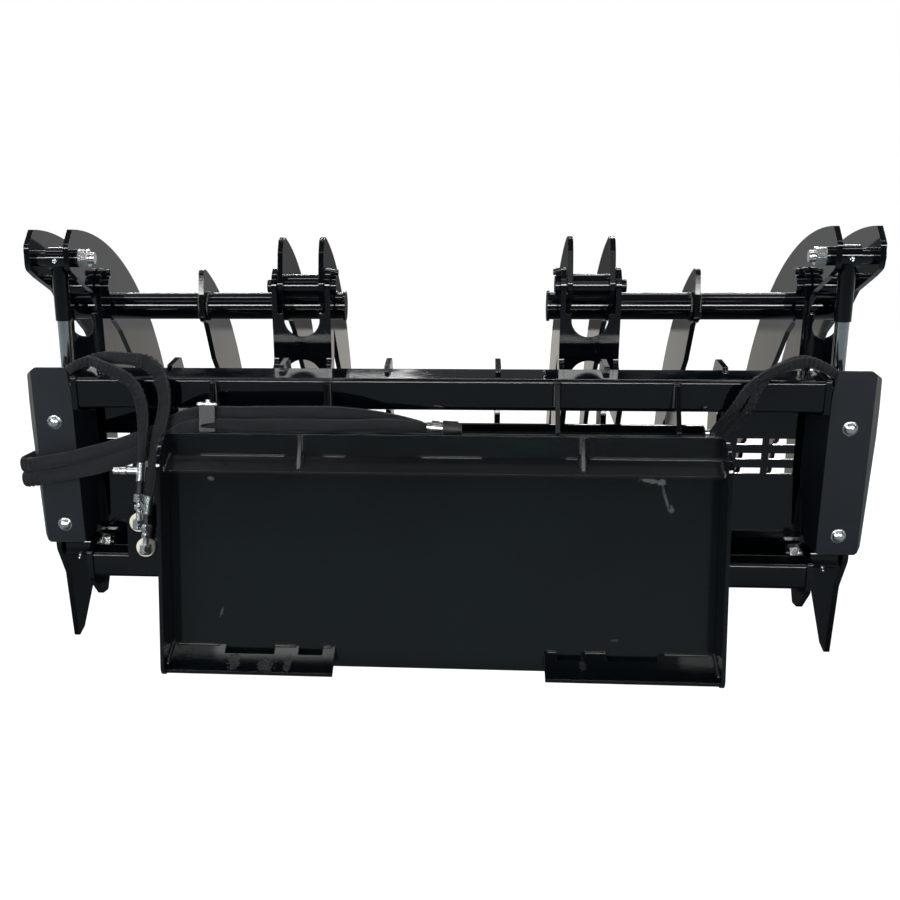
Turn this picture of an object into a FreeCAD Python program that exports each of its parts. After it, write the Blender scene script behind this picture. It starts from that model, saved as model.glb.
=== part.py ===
import FreeCAD, Part
import math
import os
from FreeCAD import Vector

# Root rake grapple for a skid-steer loader: a rear frame with a loader plate, six
# curved lower tines, two outer tines, and two separate upper arms, each closed by
# its own hydraulic cylinder behind a bolted guard.
# Millimetres. X to the right as seen by the loader's driver, Y forward to the tine
# tips, Z up from the ground. Shapes are drawn with Y counted from the rear edge of
# the loader plate, and save() moves them so that the frame's origin is the middle
# of the footprint on the ground.

os.makedirs("parts", exist_ok=True)

# Overall
HALF_WIDTH = 914.4            # to the outer face of the outer arm tines: 72 inches over all
FOOTPRINT_MIDDLE = 561.4      # from the rear of the loader plate to the frame's origin
LEAN = 10.8                   # degrees that the welded frame leans back from the loader plate
FRAME_Y = 243.0               # rear lower corner of the lower cross tube, from the rear
FRAME_Z = 185.0               # and from the ground
PLATE = 12.0                  # profile-cut plate of the tines, ears and side plates
CORNER_WIDTH = 108.4          # from the outer face to the middle of the inner side plate
SIDE_GAP = 2.5                # between an arm tine and the plate that it turns beside
OUTER_GAP = 1.4               # the same at the outermost plates
FIT = 0.06                    # radial running fit of a pin or rod
WELD_FIT = 0.2                # radial gap at a tube that is welded in a hole

# Loader plate
LOADER_WIDTH = 1168.4         # universal skid-steer attach plate, 46 inches
LOADER_LOW = 36.0
LOADER_TOP = 538.0
LOADER_PLATE = 10.0
LOADER_FACE = 80.0            # rear face of the main plate
FLANGE = 8.0
FLANGE_LOW = 29.0
FLANGE_TOP_ROUND = 66.0
FLANGE_LOW_ROUND = 22.0
HOOK_ROOT = 492.0             # where the hook strip is welded to the main plate
HOOK_REACH = 45.0
HOOK_DROP = 28.0
HOOK_PLATE = 8.0
HOOK_GUSSET = 8.0
LEDGE_ROOT = 80.0
LEDGE_REACH = 66.0
LEDGE_DROP = 40.0
LEDGE_INNER = 222.0           # inner end of each lower ledge, from the middle
SLOT_WIDE = 107.0
SLOT_NARROW = 52.0
SLOT_DEEP = 22.0
WIDE_SLOT_X = 405.0
NARROW_SLOT_X = 274.0
HOOK_GUSSET_X = 294.0

# Cross tubes, in the leaning frame: u forward and w up from the lower tube's corner
TUBE_WALL = 6.0
TUBE_ROUND = 9.0
TOP_TUBE_DEEP = 100.0
TOP_TUBE_TALL = 70.0
TOP_TUBE_LOW = 403.0
LOW_TUBE = 60.0
LOW_TUBE_LOW = -2.0
PIPE_RADIUS = 35.0
PIPE_WALL = 5.0
PIPE_U = 44.0
PIPE_W = 327.0
PIPE_HALF = 560.0
BRACE = 10.0
BRACE_X = (245.0, 495.0)

# Side plates and tines, each by the middle of its plate
INNER_SIDE_X = HALF_WIDTH - CORNER_WIDTH
LOWER_TINE_X = (121.5, 355.0, 606.0)
HEAD = 42.0                   # radius of an ear round the pivot
PIVOT_U = 264.0
PIVOT_W = 626.5
EAR_REAR = PIVOT_U - HEAD     # rear edge of every ear
WEB = 10.0
WEB_TOP = 570.0
WEB_LOW = 415.0
POCKET_WEB_LOW = 130.0
EAR_FOOT = 332.0              # lower end of the ears on the top tube

# Arms
ARM_INNER_X = (283.0, 377.5)
ARM_MIDDLE_X = 580.0
ARM_PIPE_RADIUS = 31.75
ARM_PIPE_WALL = 6.0
ARM_PIPE_U = 336.8
ARM_PIPE_W = 565.8
ARM_PIPE_INNER = 244.0
PIVOT_PIN = 15.0
BOSS_RADIUS = 27.0
SWEEP_Y = 255.0               # centre of the arc that the tines' outer edge follows
SWEEP_Z = 88.0
SWEEP = 885.0
MIDDLE_SWEEP = 826.0
MIDDLE_PIPE = (467.8, 803.9)  # centre of the pipe in the middle tine's own drawing

# Cylinders
CYLINDER_X = INNER_SIDE_X + 44.5
BASE_U = 85.0
BASE_W = 52.0
ROD_U = 108.0
ROD_W = 717.0
BASE_PIN = 12.5
BASE_EYE_BORE = 25.0          # opened wide round the base pin: the linkage's open pivot
BASE_EYE_RADIUS = 34.0
ROD_PIN = 12.5
ROD_COLLAR = 12.0
ROD_EYE_RADIUS = 24.0
BARREL_RADIUS = 30.0
BORE_RADIUS = 25.0
ROD_RADIUS = 15.0
SLEEVE_RADIUS = 18.0
BARREL_START = 52.0
BARREL_END = 345.0
GLAND_END = 368.0
SLEEVE_LENGTH = 138.0
PISTON_FROM = 205.0
PISTON_LONG = 36.0

# Cylinder guards
GUARD_X = INNER_SIDE_X + 59.0
GUARD_U = 20.0
GUARD_SHEET = 4.0
GUARD_FACE = 88.0
GUARD_LOW = 75.0
GUARD_TOP = 490.0
GUARD_BOLT_W = (120.0, 365.0)
GUARD_BOLT = 6.0
STRAP = 5.0
STRAP_TALL = 40.0
STRAP_END = 100.0

# Hoses. Each route is a list of points (x, y, z) chosen by hand, y from the plate's rear
SUPPLY_RADIUS = 12.0
HOSE_RADIUS = 10.0
CORD_ROUND = 0.45             # share of the shorter run that a corner's arc takes up
SUPPLY_UPPER = [(-30, 148, 545), (-110, 139, 565), (-200, 108, 580), (-300, 104, 581),
                (-400, 105, 578), (-480, 104, 580), (-548, 113, 574), (-612, 146, 541),
                (-690, 158, 512), (-800, 176, 482), (-990, 194, 446), (-915, 346, 468)]
SUPPLY_LOWER = [(-30, 113, 551), (-115, 108, 556), (-205, 100, 552), (-300, 99, 555),
                (-400, 99, 551), (-480, 98, 554), (-552, 104, 548), (-612, 148, 509),
                (-690, 160, 480), (-800, 178, 449), (-990, 198, 413), (-915, 348, 434)]
LEFT_REAR = [(-841, 189.4, 652.5), (-785, 181, 697), (-715, 150, 698), (-660, 128, 640),
             (-641, 122, 560), (-649, 122, 468)]
LEFT_FRONT = [(-841, 209.5, 656.4), (-785, 202, 701), (-703, 172, 708), (-631, 134, 678),
              (-600, 118, 600), (-618, 118, 495), (-633, 122, 394)]
RIGHT_REAR = [(841, 189.4, 652.5), (785, 181, 697), (707, 140, 706), (650, 128, 655),
              (620, 144, 576), (585, 206, 538)]
RIGHT_FRONT = [(841, 209.5, 656.4), (785, 203, 703), (738, 184, 700), (704, 130, 654),
               (655, 150, 570), (598, 226, 514)]
FERRULE = 9.5
FERRULE_LONG = 40.0
NECK = 6.5
PORT_DISC = 21.0
PORT_Z = (332.0, 276.0)       # height of the two round ports on the hose bracket
BRACKET_Y = 150.0
BRACKET_X = (-692.0, -604.0)
BRACKET_Z = (212.0, 372.0)
BRACKET_PLATE = 8.0
SHELF_W = 438.0               # shelf in a guard pocket that carries the hose unions
SHELF = 6.0
SHELF_LONG = 54.0
SHELF_DEEP = 38.0
SHELF_NOTCH = 14.0
STEM_LONG = 20.0
CLAMP_X = -495.0
CLAMP_LONG = 34.0
CLAMP_LOW = 540.0
CLAMP_TOP = 597.0
CLAMP_CAP = 5.0
HOSE_FIT = 0.3                # radial gap of a hose in its clamp

COS = math.cos(math.radians(LEAN))
SIN = math.sin(math.radians(LEAN))
FLANGE_INNER = LOADER_WIDTH / 2 - FLANGE
OUTER_TINE_X = HALF_WIDTH - PLATE / 2
OUTER_SIDE_X = OUTER_TINE_X - PLATE - OUTER_GAP
INNER_TINE_X = INNER_SIDE_X + PLATE + SIDE_GAP
TUBE_HALF = INNER_SIDE_X - PLATE / 2
POCKET_FROM = INNER_SIDE_X + PLATE / 2
POCKET_TO = OUTER_SIDE_X - PLATE / 2
TOP_TUBE_TOP = TOP_TUBE_LOW + TOP_TUBE_TALL
LOW_TUBE_TOP = LOW_TUBE_LOW + LOW_TUBE
EAR_X = (ARM_INNER_X[0] - PLATE - SIDE_GAP, ARM_INNER_X[1] + PLATE + SIDE_GAP)
SIDES = (("left", -1.0), ("right", 1.0))
ACROSS = Vector(1, 0, 0)


def lean(u, w):
    """Side-view place (y, z) of a point of the leaning frame."""
    return FRAME_Y + u * COS - w * SIN, FRAME_Z + u * SIN + w * COS


def leaned(stops):
    """Outline stops given as (u, w, more) turned into (y, z, more)."""
    return [lean(stop[0], stop[1]) + tuple(stop[2:]) for stop in stops]


PIVOT = lean(PIVOT_U, PIVOT_W)
BASE = lean(BASE_U, BASE_W)
ROD_EYE = lean(ROD_U, ROD_W)
ARM_PIPE = lean(ARM_PIPE_U, ARM_PIPE_W)


def rounded_corner(before, at, after, radius):
    """Start, middle and end of the arc that rounds a corner."""
    to_before = Vector(before[0] - at[0], before[1] - at[1], 0).normalize()
    to_after = Vector(after[0] - at[0], after[1] - at[1], 0).normalize()
    half = to_before.getAngle(to_after) / 2
    run = radius / math.tan(half)
    inward = (to_before + to_after).normalize()
    corner = Vector(at[0], at[1], 0)
    middle = corner + inward * (radius / math.sin(half) - radius)
    return corner + to_before * run, middle, corner + to_after * run


def outline(stops, place):
    """Closed wire. A stop is (a, b), (a, b, corner radius) or (a, b, radius, bow),
    where bow is how far the edge to the next stop swells to its left."""
    ends = []
    for i, stop in enumerate(stops):
        radius = stop[2] if len(stop) > 2 else 0.0
        if radius > 0:
            ends.append(rounded_corner(stops[i - 1], stop, stops[(i + 1) % len(stops)], radius))
        else:
            point = Vector(stop[0], stop[1], 0)
            ends.append((point, None, point))
    edges = []
    for i, stop in enumerate(stops):
        first, middle, last = ends[i]
        if middle is not None:
            edges.append(Part.Arc(place(first), place(middle), place(last)).toShape())
        start = last
        end = ends[(i + 1) % len(stops)][0]
        bow = stop[3] if len(stop) > 3 else 0.0
        if bow:
            along = end - start
            left = Vector(-along.y, along.x, 0).normalize()
            swell = (start + end) * 0.5 + left * bow
            edges.append(Part.Arc(place(start), place(swell), place(end)).toShape())
        elif start.distanceToPoint(end) > 1e-6:
            edges.append(Part.LineSegment(place(start), place(end)).toShape())
    return Part.Wire(Part.__sortEdges__(edges))


def side_plate(stops, x_middle, thickness=PLATE):
    """Plate cut to an outline in the side view."""
    x = x_middle - thickness / 2
    wire = outline(stops, lambda p: Vector(x, p.x, p.y))
    return Part.Face(wire).extrude(ACROSS * thickness)


def across(y, z, radius, x_from, x_to):
    """Round bar along X, whichever way round its ends are given."""
    low = min(x_from, x_to)
    return Part.makeCylinder(radius, abs(x_to - x_from), Vector(low, y, z), ACROSS)


def lean_box(u_from, u_to, w_from, w_to, x_from, x_to):
    """Box square to the leaning frame."""
    stops = leaned([(u_from, w_from), (u_to, w_from), (u_to, w_to), (u_from, w_to)])
    return side_plate(stops, (x_from + x_to) / 2, abs(x_to - x_from))


def mirrored(shape, side):
    """The shape as drawn for the right side, or its mirror image for the left."""
    if side > 0:
        return shape
    return shape.mirror(Vector(0, 0, 0), ACROSS)


def save(name, shapes):
    """Write one node, a solid or a group of separate solids."""
    solids = []
    for shape in shapes if isinstance(shapes, list) else [shapes]:
        solids += shape.Solids
    moved = [s.translated(Vector(0, -FOOTPRINT_MIDDLE, 0)) for s in solids]
    node = moved[0] if len(moved) == 1 else Part.makeCompound(moved)
    node.exportStep("parts/" + name + ".step")
    box = node.BoundBox
    print(f"{name}: {len(moved)} solids, x {box.XMin:.1f} {box.XMax:.1f},"
          f" y {box.YMin:.1f} {box.YMax:.1f}, z {box.ZMin:.1f} {box.ZMax:.1f}")


# Loader plate
def loader_plate():
    return Part.makeBox(2 * FLANGE_INNER, LOADER_PLATE, LOADER_TOP - LOADER_LOW,
                        Vector(-FLANGE_INNER, LOADER_FACE, LOADER_LOW))


def loader_flange(side):
    """Side wall of the plate's shallow tray, with a large round at its upper rear corner."""
    front = LOADER_FACE + LOADER_PLATE
    stops = [(front, FLANGE_LOW, 6), (front, LOADER_TOP, 6), (0, LOADER_TOP, FLANGE_TOP_ROUND),
             (0, FLANGE_LOW, FLANGE_LOW_ROUND)]
    return side_plate(stops, side * (FLANGE_INNER + FLANGE / 2), FLANGE)


def sloping_strip(root, reach, drop, thickness, x_from, x_to):
    """Strip that runs down and back from the main plate, as the hook and ledges do."""
    slope = math.atan2(drop, reach)
    rise = thickness / math.cos(slope)
    tip = (LOADER_FACE - reach, root - drop)
    foot = (tip[0] + thickness * math.sin(slope), tip[1] - thickness * math.cos(slope))
    stops = [(LOADER_FACE, root), tip, foot, (LOADER_FACE, root - rise)]
    return side_plate(stops, (x_from + x_to) / 2, x_to - x_from)


def loader_hook():
    return sloping_strip(HOOK_ROOT, HOOK_REACH, HOOK_DROP, HOOK_PLATE, -FLANGE_INNER, FLANGE_INNER)


def hook_gusset(x):
    slope = HOOK_DROP / HOOK_REACH
    stops = [(LOADER_FACE, HOOK_ROOT), (LOADER_FACE, LOADER_TOP - 6), (LOADER_FACE - 8, LOADER_TOP - 6),
             (LOADER_FACE - HOOK_REACH + 8, HOOK_ROOT - slope * (HOOK_REACH - 8))]
    return side_plate(stops, x, HOOK_GUSSET)


def loader_ledge(side):
    """Lower ledge, with the slots that the loader's locking wedges drop through."""
    ledge = sloping_strip(LEDGE_ROOT, LEDGE_REACH, LEDGE_DROP, LOADER_PLATE,
                          LEDGE_INNER, FLANGE_INNER)
    slots = []
    for x, width in ((WIDE_SLOT_X, SLOT_WIDE), (NARROW_SLOT_X, SLOT_NARROW)):
        slots.append(Part.makeBox(width, SLOT_DEEP, LEDGE_ROOT,
                                  Vector(x - width / 2, LOADER_FACE - SLOT_DEEP, LEDGE_ROOT / 4)))
    return mirrored(ledge.cut(slots), side)


# Cross tubes and braces
def square_tube(deep, tall, low):
    """Rectangular tube along X with rounded corners, square to the leaning frame."""
    def prism(inset, radius):
        stops = [(inset, low + inset, radius), (deep - inset, low + inset, radius),
                 (deep - inset, low + tall - inset, radius), (inset, low + tall - inset, radius)]
        return side_plate(leaned(stops), 0, 2 * TUBE_HALF)
    return prism(0, TUBE_ROUND).cut(prism(TUBE_WALL, TUBE_ROUND - TUBE_WALL))


def round_pipe():
    y, z = lean(PIPE_U, PIPE_W)
    outer = across(y, z, PIPE_RADIUS, -PIPE_HALF, PIPE_HALF)
    return outer.cut(across(y, z, PIPE_RADIUS - PIPE_WALL, -PIPE_HALF, PIPE_HALF))


def brace(x):
    """Gusset between the loader plate and both tubes, with the round pipe through it."""
    front = LOADER_FACE + LOADER_PLATE
    low_y, low_z = lean(0, LOW_TUBE_LOW + 4)
    stops = [(front, LEDGE_ROOT), (low_y, low_z)]
    stops += leaned([(0, LOW_TUBE_TOP), (LOW_TUBE - 8, LOW_TUBE_TOP), (88, 270, 30),
                     (88, TOP_TUBE_LOW), (0, TOP_TUBE_LOW), (0, TOP_TUBE_TOP - 6),
                     (-14, TOP_TUBE_TOP - 8)])
    stops += [(front + 20, LOADER_TOP + 4, 30), (front, LOADER_TOP - 24)]
    plate = side_plate(stops, x, BRACE)
    y, z = lean(PIPE_U, PIPE_W)
    holes = [across(y, z, PIPE_RADIUS + WELD_FIT, x - BRACE, x + BRACE)]
    for hole_w, radius in ((205.0, 42.0), (100.0, 26.0)):
        hole_y, hole_z = lean(-10, hole_w)
        holes.append(across(hole_y, hole_z, radius, x - BRACE, x + BRACE))
    return plate.cut(holes)


# Lower tines
def lower_tine(x):
    """Curved rake tine that hooks over the top tube and wraps the lower one."""
    back = leaned([(62, TOP_TUBE_TOP), (66, TOP_TUBE_TOP + 13, 3), (150, TOP_TUBE_TOP + 13, 24),
                   (192, TOP_TUBE_LOW + 10, 30), (178, 190, 0, -52)])
    floor = [(556, 158, 0, -16), (985, 42), (1014, 24, 6), (1016, 0, 8), (985, 0, 0, -22),
             (370, 0), (278, 0, 25), (238, 62, 30)]
    under = leaned([(12, LOW_TUBE_LOW), (LOW_TUBE, LOW_TUBE_LOW), (LOW_TUBE, LOW_TUBE_TOP),
                    (84, 200, 60), (92, TOP_TUBE_LOW - 30), (TOP_TUBE_DEEP, TOP_TUBE_LOW),
                    (TOP_TUBE_DEEP, TOP_TUBE_TOP)])
    return side_plate(back + floor + under, x)


def outer_side(side):
    """Outer side plate: ear, cylinder wall, heel tooth and outermost lower tine."""
    head_front = (PIVOT_U + HEAD, PIVOT_W)
    upper = leaned([(EAR_REAR, PIVOT_W, 0, HEAD), head_front + (0, 0), (282, 556, 30),
                    (270, WEB_LOW, 40), (262, 250, 0, -40)])
    tine = [(640, 205, 0, -14), (985, 50), (1014, 30, 6), (1016, 8, 8), (530, 140, 30),
            (424, 14, 12), (382, 0, 8), (334, 172, 30)]
    rear = leaned([(44, 52, 30), (62, 120, 40), (80, 330, 40), (EAR_REAR, 452, 40)])
    return drilled_side(side_plate(upper + tine + rear, OUTER_SIDE_X), OUTER_SIDE_X, side)


def inner_side(side):
    """Inner side plate: ear, closing wall of both tubes, and the lug of the base pin."""
    head_front = (PIVOT_U + HEAD, PIVOT_W)
    upper = leaned([(EAR_REAR, PIVOT_W, 0, HEAD), head_front + (0, 0), (282, 556, 30),
                    (270, WEB_LOW, 40), (250, 120, 60)])
    lug = [(362, 172, 30), (342, 130, 12), (302, 130, 12)]
    rear = leaned([(-4, -8, 12), (-4, LOW_TUBE_TOP + 4, 6), (75, LOW_TUBE_TOP + 14, 12),
                   (75, TOP_TUBE_LOW - 12, 12), (-4, TOP_TUBE_LOW - 4, 6), (-4, TOP_TUBE_TOP + 3, 6),
                   (TOP_TUBE_DEEP + 4, TOP_TUBE_TOP + 3, 6), (TOP_TUBE_DEEP + 12, 442, 8),
                   (EAR_REAR, 450, 20)])
    return drilled_side(side_plate(upper + lug + rear, INNER_SIDE_X), INNER_SIDE_X, side)


def drilled_side(plate, x, side):
    """Side plate with its pivot bore and base pin bore."""
    pivot = across(PIVOT[0], PIVOT[1], PIVOT_PIN + FIT, x - PLATE, x + PLATE)
    base = across(BASE[0], BASE[1], BASE_PIN + FIT, x - PLATE, x + PLATE)
    return mirrored(plate.cut([pivot, base]), side)


def side_panel(side):
    """Sheet between the outer rake tine and the inner side plate, with plain slots."""
    x_from = LOWER_TINE_X[2] + PLATE / 2
    panel = lean_box(106, 112, -15, 400, x_from, TUBE_HALF)
    slots = []
    for row in range(3):
        low = 232.0 + 34.0 * row
        for start in (x_from + 40, x_from + 110):
            slots.append(lean_box(96, 122, low, low + 14, start, start + 56))
    return mirrored(panel.cut(slots), side)


# Pivot brackets
def pivot_ear(x):
    """Ear that stands on the front face of the top tube and reaches down past it."""
    stops = leaned([(EAR_REAR, PIVOT_W, 0, HEAD), (PIVOT_U + HEAD, PIVOT_W), (282, 556, 30),
                    (270, TOP_TUBE_LOW, 40), (262, EAR_FOOT, 14), (136, EAR_FOOT, 20),
                    (TOP_TUBE_DEEP, TOP_TUBE_LOW - 14), (TOP_TUBE_DEEP, TOP_TUBE_LOW + 36),
                    (EAR_REAR, TOP_TUBE_LOW + 45, 24)])
    ear = side_plate(stops, x)
    return ear.cut(across(PIVOT[0], PIVOT[1], PIVOT_PIN + FIT, x - PLATE, x + PLATE))


def web(x_from, x_to, low):
    """Cross plate between two ears with a scooped top and an arched window."""
    body = lean_box(EAR_REAR, EAR_REAR + WEB, low, WEB_TOP, x_from, x_to)
    middle = (x_from + x_to) / 2
    half = (x_to - x_from) / 2 - 14
    scoop = half_oval(middle, half, 56, WEB_TOP, -1)
    arch = half_oval(middle, half, 46, WEB_LOW, 1)
    return body.cut([scoop, arch])


def half_oval(x_middle, half, tall, flat_w, way):
    """Half-oval cutter through the web, its flat side at flat_w, swelling up or down."""
    def place(point):
        y, z = lean(EAR_REAR - 5, point.y)
        return Vector(point.x, y, z)
    low = flat_w - way * 4
    sides = flat_w + way * tall * 0.25
    top = flat_w + way * tall
    edges = [Part.LineSegment(place(Vector(x_middle - half, sides, 0)),
                              place(Vector(x_middle - half, low, 0))).toShape(),
             Part.LineSegment(place(Vector(x_middle - half, low, 0)),
                              place(Vector(x_middle + half, low, 0))).toShape(),
             Part.LineSegment(place(Vector(x_middle + half, low, 0)),
                              place(Vector(x_middle + half, sides, 0))).toShape(),
             Part.Arc(place(Vector(x_middle + half, sides, 0)), place(Vector(x_middle, top, 0)),
                      place(Vector(x_middle - half, sides, 0))).toShape()]
    wire = Part.Wire(Part.__sortEdges__(edges))
    return Part.Face(wire).extrude(Vector(0, COS, SIN) * (WEB + 10))


def pivot_pin(x_from, x_to, head_from, head_to, side):
    """Headed pivot pin."""
    pin = across(PIVOT[0], PIVOT[1], PIVOT_PIN, x_from, x_to)
    head = across(PIVOT[0], PIVOT[1], PIVOT_PIN + 8, head_from, head_to)
    return mirrored(pin.fuse(head).removeSplitter(), side)


def pivot_pins(side):
    ear_in = EAR_X[0] - PLATE / 2
    ear_out = EAR_X[1] + PLATE / 2
    inner = pivot_pin(ear_in, ear_out + 14, ear_in - 12, ear_in, side)
    outer = pivot_pin(TUBE_HALF, HALF_WIDTH, TUBE_HALF - 14, TUBE_HALF, side)
    return [inner, outer]


def pin_keeper(x_face, side):
    """Keeper bar that stands on a pin's ear, with its bolt head."""
    stops = leaned([(PIVOT_U - 12, PIVOT_W + PIVOT_PIN + 9), (PIVOT_U + 12, PIVOT_W + PIVOT_PIN + 9),
                    (PIVOT_U + 12, PIVOT_W + HEAD - 2, 4), (PIVOT_U - 12, PIVOT_W + HEAD - 2, 4)])
    bar = side_plate(stops, x_face - 5, 10)
    y, z = lean(PIVOT_U, PIVOT_W + 32)
    head = across(y, z, 7, x_face - 10, x_face - 16)
    return mirrored(bar.fuse(head).removeSplitter(), side)


# Cylinder base pins
def base_pin(side):
    """Pin through both side plates, its head outside and its nut inboard."""
    pin = across(BASE[0], BASE[1], BASE_PIN, TUBE_HALF - 28, OUTER_SIDE_X + PLATE / 2)
    return mirrored(pin, side)


def hex_nut(y, z, bore, flat, x_from, x_to, side):
    """Hexagon nut with a plain bore."""
    points = []
    for corner in range(6):
        angle = math.radians(60 * corner + 12)
        reach = flat / 2 / math.cos(math.radians(30))
        points.append((y + reach * math.cos(angle), z + reach * math.sin(angle)))
    nut = side_plate(points, (x_from + x_to) / 2, abs(x_to - x_from))
    nut = nut.cut(across(y, z, bore, x_from - 5, x_to + 5))
    return mirrored(nut, side)


def base_nut(side):
    return hex_nut(BASE[0], BASE[1], BASE_PIN + FIT, 32, TUBE_HALF - 20, TUBE_HALF - 2, side)


def base_washer(side):
    ring = across(BASE[0], BASE[1], 20, TUBE_HALF - 2, TUBE_HALF)
    ring = ring.cut(across(BASE[0], BASE[1], BASE_PIN + FIT, TUBE_HALF - 3, TUBE_HALF + 1))
    return mirrored(ring, side)


# Guards
def guard(side):
    """Folded cover with a flat face, two angled wings and cut corners."""
    half = GUARD_FACE / 2
    folded = []
    for inset in (0.0, GUARD_SHEET):
        u = GUARD_U + inset
        wing = GUARD_SHEET * 0.45 * (1 if inset else 0)
        folded += [[(-half - 35 + wing * 2, 75), (-half + wing, u), (half - wing, u),
                    (half + 26 - wing * 2, 62)]]
    outer, inner = folded
    points = outer + inner[::-1]

    def place(point):
        y, z = lean(point[1], GUARD_LOW)
        return Vector(GUARD_X + point[0], y, z)
    edges = [Part.LineSegment(place(points[i - 1]), place(points[i])).toShape()
             for i in range(len(points))]
    up = Vector(0, -SIN, COS)
    cover = Part.Face(Part.Wire(Part.__sortEdges__(edges))).extrude(up * (GUARD_TOP - GUARD_LOW))
    shape = [(-36, GUARD_TOP, 10), (34, GUARD_TOP, 12), (66, GUARD_TOP - 24, 14), (72, 365, 40),
             (54, GUARD_LOW + 14, 4), (38, GUARD_LOW), (-38, GUARD_LOW), (-62, GUARD_LOW + 16, 8),
             (-84, 300, 20), (-80, TOP_TUBE_LOW - 24, 10), (-50, TOP_TUBE_LOW - 16, 6)]

    def facing(point):
        y, z = lean(GUARD_U - 20, point.y)
        return Vector(GUARD_X + point.x, y, z)
    cutter = Part.Face(outline(shape, facing)).extrude(Vector(0, COS, SIN) * 90)
    cover = cover.common(cutter)
    holes = []
    for w in GUARD_BOLT_W:
        holes.append(along_u(GUARD_X, w, GUARD_BOLT + FIT, GUARD_U - 5, GUARD_U + 10))
    return mirrored(cover.cut(holes), side)


def along_u(x, w, radius, u_from, u_to):
    """Round bar square to a guard's face."""
    y, z = lean(u_from, w)
    return Part.makeCylinder(radius, u_to - u_from, Vector(x, y, z), Vector(0, COS, SIN))


def guard_strap(w, side):
    """U-shaped strap between the side plates that takes a guard bolt."""
    u = GUARD_U + GUARD_SHEET
    turn_x = GUARD_X - GUARD_FACE / 2 + 2
    turn_u = u + 20
    points = [(POCKET_FROM, STRAP_END), (POCKET_FROM, turn_u), (turn_x, u), (POCKET_TO, u),
              (POCKET_TO, STRAP_END), (POCKET_TO - STRAP, STRAP_END), (POCKET_TO - STRAP, u + STRAP),
              (turn_x + 2, u + STRAP), (POCKET_FROM + STRAP, turn_u + 2), (POCKET_FROM + STRAP, STRAP_END)]

    def place(point):
        y, z = lean(point.y, w - STRAP_TALL / 2)
        return Vector(point.x, y, z)
    strap = Part.Face(outline(points, place)).extrude(Vector(0, -SIN, COS) * STRAP_TALL)
    strap = strap.cut(along_u(GUARD_X, w, GUARD_BOLT + FIT, u - 5, u + 10))
    return mirrored(strap, side)


def guard_bolt(w, side):
    """Dome-headed bolt with its washer and nut."""
    washer = along_u(GUARD_X, w, 16, GUARD_U - 2, GUARD_U)
    dome_y, dome_z = lean(GUARD_U - 2, w)
    ball = Part.makeSphere(18, Vector(GUARD_X, dome_y + 8 * COS, dome_z + 8 * SIN))
    dome = ball.common(along_u(GUARD_X, w, 14, GUARD_U - 20, GUARD_U - 2))
    shank = along_u(GUARD_X, w, GUARD_BOLT, GUARD_U - 2, GUARD_U + 22)
    nut = along_u(GUARD_X, w, 10, GUARD_U + GUARD_SHEET + STRAP, GUARD_U + 19)
    return mirrored(washer.fuse([dome, shank, nut]).removeSplitter(), side)


# Arms
def sweep_point(radius, y=None, z=None):
    """Point of the outer arc at a given y on its way down, or at a given z in front."""
    if z is None:
        return y, SWEEP_Z + math.sqrt(radius ** 2 - (y - SWEEP_Y) ** 2)
    return SWEEP_Y + math.sqrt(radius ** 2 - (z - SWEEP_Z) ** 2), z


def arc_bow(radius, start, end):
    """Bow of a chord of the outer arc: negative, because the arc lies on its right."""
    half = math.hypot(end[0] - start[0], end[1] - start[1]) / 2
    return radius - math.sqrt(radius ** 2 - half ** 2)


def arm_edge(radius, rear_y, tip_z):
    """The long outer edge of an arm tine, from its rear end to its tip."""
    start = sweep_point(radius, y=rear_y)
    end = sweep_point(radius, z=tip_z)
    return [start + (0, arc_bow(radius, start, end)), end]


def saw_edge(points, step):
    """Inner edge of a tine with a small saw step at each point, from tip to root."""
    stops = []
    for y, z in points:
        stops += [(y, z, 0, -5), (y - step * 0.9, z - step * 0.5)]
    return stops


def outer_arm_tine(x, side):
    """Outer arm tine with the lobe that the cylinder's rod pin goes through."""
    edge = arm_edge(SWEEP, 205, 262)
    tip = [(1106, 232, 10), (1084, 250)]
    inner = saw_edge([(1052, 336), (985, 430), (890, 520), (786, 596)], 9)
    root = [(657, 668, 20), (557, 742, 30), (500, 768, 20), (440, 768, 20), (394, 798, 30),
            (336, 838, 30), (224, 868, 20), (178, 884, 20), (172, 934, 14)]
    plate = side_plate(edge + tip + inner + root, x)
    holes = [across(PIVOT[0], PIVOT[1], PIVOT_PIN + FIT, x - PLATE, x + PLATE),
             across(ROD_EYE[0], ROD_EYE[1], ROD_PIN + FIT, x - PLATE, x + PLATE),
             across(ARM_PIPE[0], ARM_PIPE[1], ARM_PIPE_RADIUS + WELD_FIT, x - PLATE, x + PLATE)]
    return mirrored(plate.cut(holes), side)


def inner_arm_tine(x, side):
    edge = arm_edge(SWEEP, 392, 262)
    tip = [(1106, 232, 10), (1084, 250)]
    inner = saw_edge([(1052, 336), (985, 430), (890, 520), (786, 596)], 9)
    root = [(657, 668, 20), (557, 742, 30), (500, 768, 20), (430, 770, 20), (400, 802, 10),
            (360, 808, 26), (342, 850, 20), (350, 925, 30), (366, 956, 12)]
    plate = side_plate(edge + tip + inner + root, x)
    holes = [across(PIVOT[0], PIVOT[1], PIVOT_PIN + FIT, x - PLATE, x + PLATE),
             across(ARM_PIPE[0], ARM_PIPE[1], ARM_PIPE_RADIUS + WELD_FIT, x - PLATE, x + PLATE)]
    return mirrored(plate.cut(holes), side)


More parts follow.
